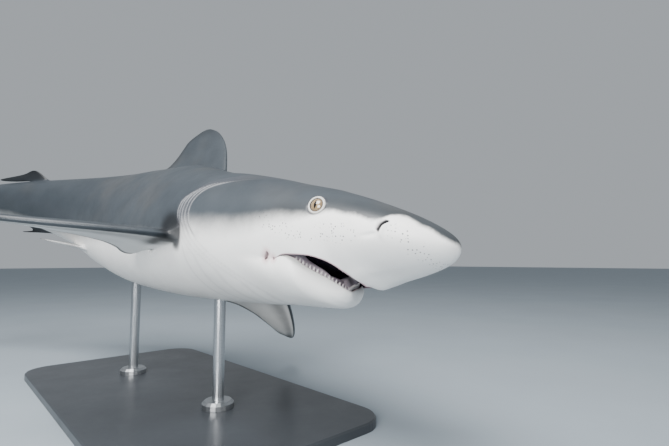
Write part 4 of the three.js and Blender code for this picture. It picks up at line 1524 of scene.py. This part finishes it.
def shark_skin():
    """Skin of tiny close scales, cast in resin and painted: satin, grey over white, with a clear
    edge on the snout that goes soft behind the eye."""
    made, tree, shader = start_material("painted_resin_skin", IOR=1.45, Specular_IOR_Level=0.45)
    fields = read_fields(tree, SKIN_GRAINS, PAINT)
    fields["grey"] = grey_share(tree, fields)
    fields["dots"] = pore_dots(tree, fields)
    inputs = {"Value": fields["patches"], "To Min": 0.85, "To Max": 1.15}
    patchy = add_node(tree, "MapRange", OPEN, inputs).outputs["Result"]
    uneven = add_node(tree, "Math", {"operation": "MULTIPLY"}, {0: fields["dusk_and_shade"], 1: patchy})
    fields["dusk_and_shade"] = uneven.outputs["Value"]

    white = coat(tree, "#e2e1de", [(1, "#f6f5f2", ("pale",))], fields)
    ridge = coat(tree, "#272d32", [(1, "#3c4248", ("mottle",))], fields)
    back = [
        (1, "#454b50", ("mottle",)),
        (1, ridge, ("shade", 8, 90)),
        (0.5, "#2f3132", ("shade", 34, 6), ("station", 330, 200)),  # along its edge on the head
        (0.2, "#55504a", ("bronze", 0.45, 0.7)),
    ]
    grey = coat(tree, "#2c3136", back, fields)
    colour = coat(tree, white, [(1, grey, ("grey", -1, 1))] + MARKS, fields)
    # the mouth's lining, and painted shade in the eye's socket behind the lids
    inner = [(1, mouth_colour(tree, fields), ("lining", 0.004, 0.05)), (1, "#141114", ("socket",))]
    tree.links.new(coat(tree, colour, inner, fields), shader.inputs["Base Color"])

    pits = add_node(tree, "Math", {"operation": "SUBTRACT"}, {0: 1, 1: fields["dots"]})
    fields["pits"] = pits.outputs["Value"]
    emboss(tree, shader, [("scales", 0.12, 0.55), ("dents", 0.9, 0.35), ("pits", 0.3, 0.6)], fields)
    inputs = {"Value": fields["gloss"], "To Min": 0.3, "To Max": 0.52}
    dry = add_node(tree, "MapRange", OPEN, inputs).outputs["Result"]
    inputs = {"Value": fields["lining"], "From Min": 0.02, "From Max": 0.1, "To Max": -0.2}
    wet = add_node(tree, "MapRange", SOFT, inputs).outputs["Result"]
    rough = add_node(tree, "Math", {"operation": "ADD"}, {0: dry, 1: wet}).outputs["Value"]
    tree.links.new(rough, shader.inputs["Roughness"])
    return made


THREADS_MM = (0.61, 1.8)  # how wide the iris's threads are at its edge, and how long
IRIS_EDGE_MM = 8.8
PUPIL_HALF_WIDTH = 1.8
PUPIL_TAPER = 0.055  # how fast the slit narrows away from its middle, per mm


def inside_pupil(tree, back, up):
    """How far inside the edge of the pupil a place is: it is a slit, pointed at both ends."""
    away = add_node(tree, "Math", {"operation": "POWER"}, {0: up, 1: 2}).outputs["Value"]
    narrows = {0: away, 1: -PUPIL_TAPER, 2: PUPIL_HALF_WIDTH}
    width = add_node(tree, "Math", {"operation": "MULTIPLY_ADD"}, narrows).outputs["Value"]
    beside = add_node(tree, "Math", {"operation": "ABSOLUTE"}, {0: back}).outputs["Value"]
    return add_node(tree, "Math", {"operation": "SUBTRACT"}, {0: width, 1: beside}).outputs["Value"]


def glass_eye():
    """Cast glass over a painted iris: hard and glossy, tan with fine threads that run out from an
    upright slit."""
    shine = {"Roughness": 0.12, "IOR": 1.5, "Coat_Weight": 1, "Coat_Roughness": 0.03}
    made, tree, shader = start_material("painted_glass_eye", **shine)
    gaze = add_node(tree, "Attribute", {"attribute_name": "gaze"}).outputs["Vector"]
    split = add_node(tree, "SeparateXYZ", None, {"Vector": gaze})
    back, up = split.outputs["X"], split.outputs["Y"]
    flat = add_node(tree, "VectorMath", {"operation": "MULTIPLY"}, {0: gaze, 1: (1, 1, 0)})
    reach = add_node(tree, "VectorMath", {"operation": "LENGTH"}, {0: flat.outputs["Vector"]})
    reach = reach.outputs["Value"]
    turn = add_node(tree, "Math", {"operation": "ARCTAN2"}, {0: up, 1: back}).outputs["Value"]
    around = add_node(tree, "CombineXYZ", None, {"X": turn, "Y": reach}).outputs["Vector"]
    drawn_out = (IRIS_EDGE_MM / THREADS_MM[0], 1 / THREADS_MM[1], 0)
    drawn = add_node(tree, "VectorMath", {"operation": "MULTIPLY"}, {0: around, 1: drawn_out})
    inputs = {"Vector": drawn.outputs["Vector"], "Scale": 1, "Detail": 3}
    fields = {"reach": reach, "inside": inside_pupil(tree, back, up)}
    fields["threads"] = add_node(tree, "TexNoise", None, inputs).outputs["Fac"]
    coats = [
        (1, "#a18b66", ("threads", 0.3, 0.7)),
        (0.7, "#57483b", ("reach", 4.5, 8.6)),
        (1, "#171213", ("reach", 8.1, IRIS_EDGE_MM)),
        (0.5, "#59432f", ("inside", -1.2, 0)),
        (1, "#070607", ("inside", -0.12, 0.12)),
    ]
    tree.links.new(coat(tree, "#715c43", coats, fields), shader.inputs["Base Color"])
    return made


def tooth_enamel():
    """Enamel: hard, glossy and slightly mauve in places 3 mm across."""
    made, tree, shader = start_material("tooth_enamel", Roughness=0.25, IOR=1.6, Coat_Weight=0.3)
    fields = read_fields(tree, {"stain": (3, 3, 0.5)})
    colour = coat(tree, "#f1edea", [(1, "#cfc6cb", ("stain", 0.35, 0.7))], fields)
    tree.links.new(colour, shader.inputs["Base Color"])
    return made


def tongue_flesh():
    """Painted resin under wet varnish: mauve, with a surface of pebbles 2 mm across."""
    shine = {"Roughness": 0.3, "IOR": 1.45, "Coat_Weight": 0.4}
    made, tree, shader = start_material("varnished_resin_tongue", **shine)
    fields = read_fields(tree, {"mottle": (9, 3, 0.5), "pebbles": (2, 3, 0.5)})
    colour = coat(tree, "#6f6470", [(1, "#9a8b97", ("mottle",))], fields)
    tree.links.new(colour, shader.inputs["Base Color"])
    emboss(tree, shader, [("pebbles", 0.4, 0.6)], fields)
    return made


def lacquered_board():
    """Fibreboard under a dark satin lacquer, rolled on: a faint orange-peel of 2.5 mm, with dust."""
    shine = {"IOR": 1.5, "Coat_Weight": 0.25, "Coat_Roughness": 0.25}
    made, tree, shader = start_material("satin_black_lacquer", **shine)
    grains = {"clouds": (90, 4, 0.5), "peel": (2.5, 2, 0.5), "dust": (120, 5, 0.7)}
    fields = read_fields(tree, grains)
    colour = coat(tree, "#24272b", [(1, "#2e3237", ("clouds",))], fields)
    tree.links.new(colour, shader.inputs["Base Color"])
    emboss(tree, shader, [("peel", 0.05, 0.5)], fields)
    vary_gloss(tree, shader, fields["dust"], 0.27, 0.52)
    return made


def brushed_steel():
    """Stainless steel, turned and brushed round: bands of 0.6 mm run round the rod, coarser than a
    brush leaves, so that they show."""
    made, tree, shader = start_material("brushed_stainless_steel", Metallic=1)
    place = add_node(tree, "TexCoord").outputs["Object"]
    inputs = {"Vector": place, "Scale": (0.08, 0.08, 1)}
    round_the_rod = add_node(tree, "Mapping", None, inputs).outputs["Vector"]
    fields = read_fields(tree, {"bands": (0.6, 3, 0.6)}, place=round_the_rod)
    colour = coat(tree, "#9b9ea1", [(1, "#c6c8ca", ("bands",))], fields)
    tree.links.new(colour, shader.inputs["Base Color"])
    emboss(tree, shader, [("bands", 0.03, 0.5)], fields)
    vary_gloss(tree, shader, fields["bands"], 0.2, 0.42)
    return made


def floor_paint():
    """Matt floor paint over concrete: faint cloudy patches 400 mm across, uneven by 6 mm close up."""
    made, tree, shader = start_material("matt_floor_paint", Roughness=0.75)
    fields = read_fields(tree, {"clouds": (400, 4, 0.6), "grit": (6, 3, 0.5)})
    colour = coat(tree, "#8d979f", [(1, "#9aa4ab", ("clouds",))], fields)
    tree.links.new(colour, shader.inputs["Base Color"])
    emboss(tree, shader, [("grit", 0.1, 0.4)], fields)
    return made


def finish_with(made, *pieces):
    """Gives pieces a material."""
    for piece in pieces:
        piece.data.materials.clear()
        piece.data.materials.append(made)


finish_with(shark_skin(), skin)
finish_with(glass_eye(), *eyeballs)
finish_with(tooth_enamel(), teeth)
finish_with(tongue_flesh(), tongue)
steel = brushed_steel()
board = lacquered_board()
for node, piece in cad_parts.items():
    if node.startswith("stand_"):
        piece.material_slots[0].material = board if node == "stand_base" else steel


# ------------------------------------------------------------------ floor and light
FLOOR_REACH = 20  # metres each way from the middle
SKY_COLOUR = (0.8, 0.86, 0.92, 1)
SKY_STRENGTH = 0.5


def add_floor():
    """A plain floor for the stand."""
    bm = bmesh.new()
    bmesh.ops.create_grid(bm, x_segments=1, y_segments=1, size=FLOOR_REACH)
    mesh = bpy.data.meshes.new("floor")
    bm.to_mesh(mesh)
    bm.free()
    floor = bpy.data.objects.new("floor", mesh)
    bpy.context.scene.collection.objects.link(floor)
    finish_with(floor_paint(), floor)


def add_light(name, place, target, size, watts, spread=180):
    """A square area lamp, size metres wide, at a place and aimed at another."""
    data = bpy.data.lights.new(name, "AREA")
    data.spread = math.radians(spread)
    data.size = size
    data.energy = watts
    lamp = bpy.data.objects.new(name, data)
    way = Vector(target) - Vector(place)
    lamp.matrix_world = Matrix.Translation(place) @ way.to_track_quat("-Z", "Y").to_matrix().to_4x4()
    bpy.context.scene.collection.objects.link(lamp)


add_floor()
add_light("key", (0.7, -1.5, 2.6), (0.1, 0, 0.3), size=1.6, watts=175)
add_light("front", (1.35, -1.45, 0.66), (0.4, 0, 0.3), size=0.8, watts=8, spread=70)
add_light("fill", (2.4, 0.4, 1.2), (0.1, 0, 0.3), size=2, watts=14)
world = bpy.data.worlds.new("studio")
world.use_nodes = True
world.node_tree.nodes["Background"].inputs["Color"].default_value = SKY_COLOUR
world.node_tree.nodes["Background"].inputs["Strength"].default_value = SKY_STRENGTH
bpy.context.scene.world = world
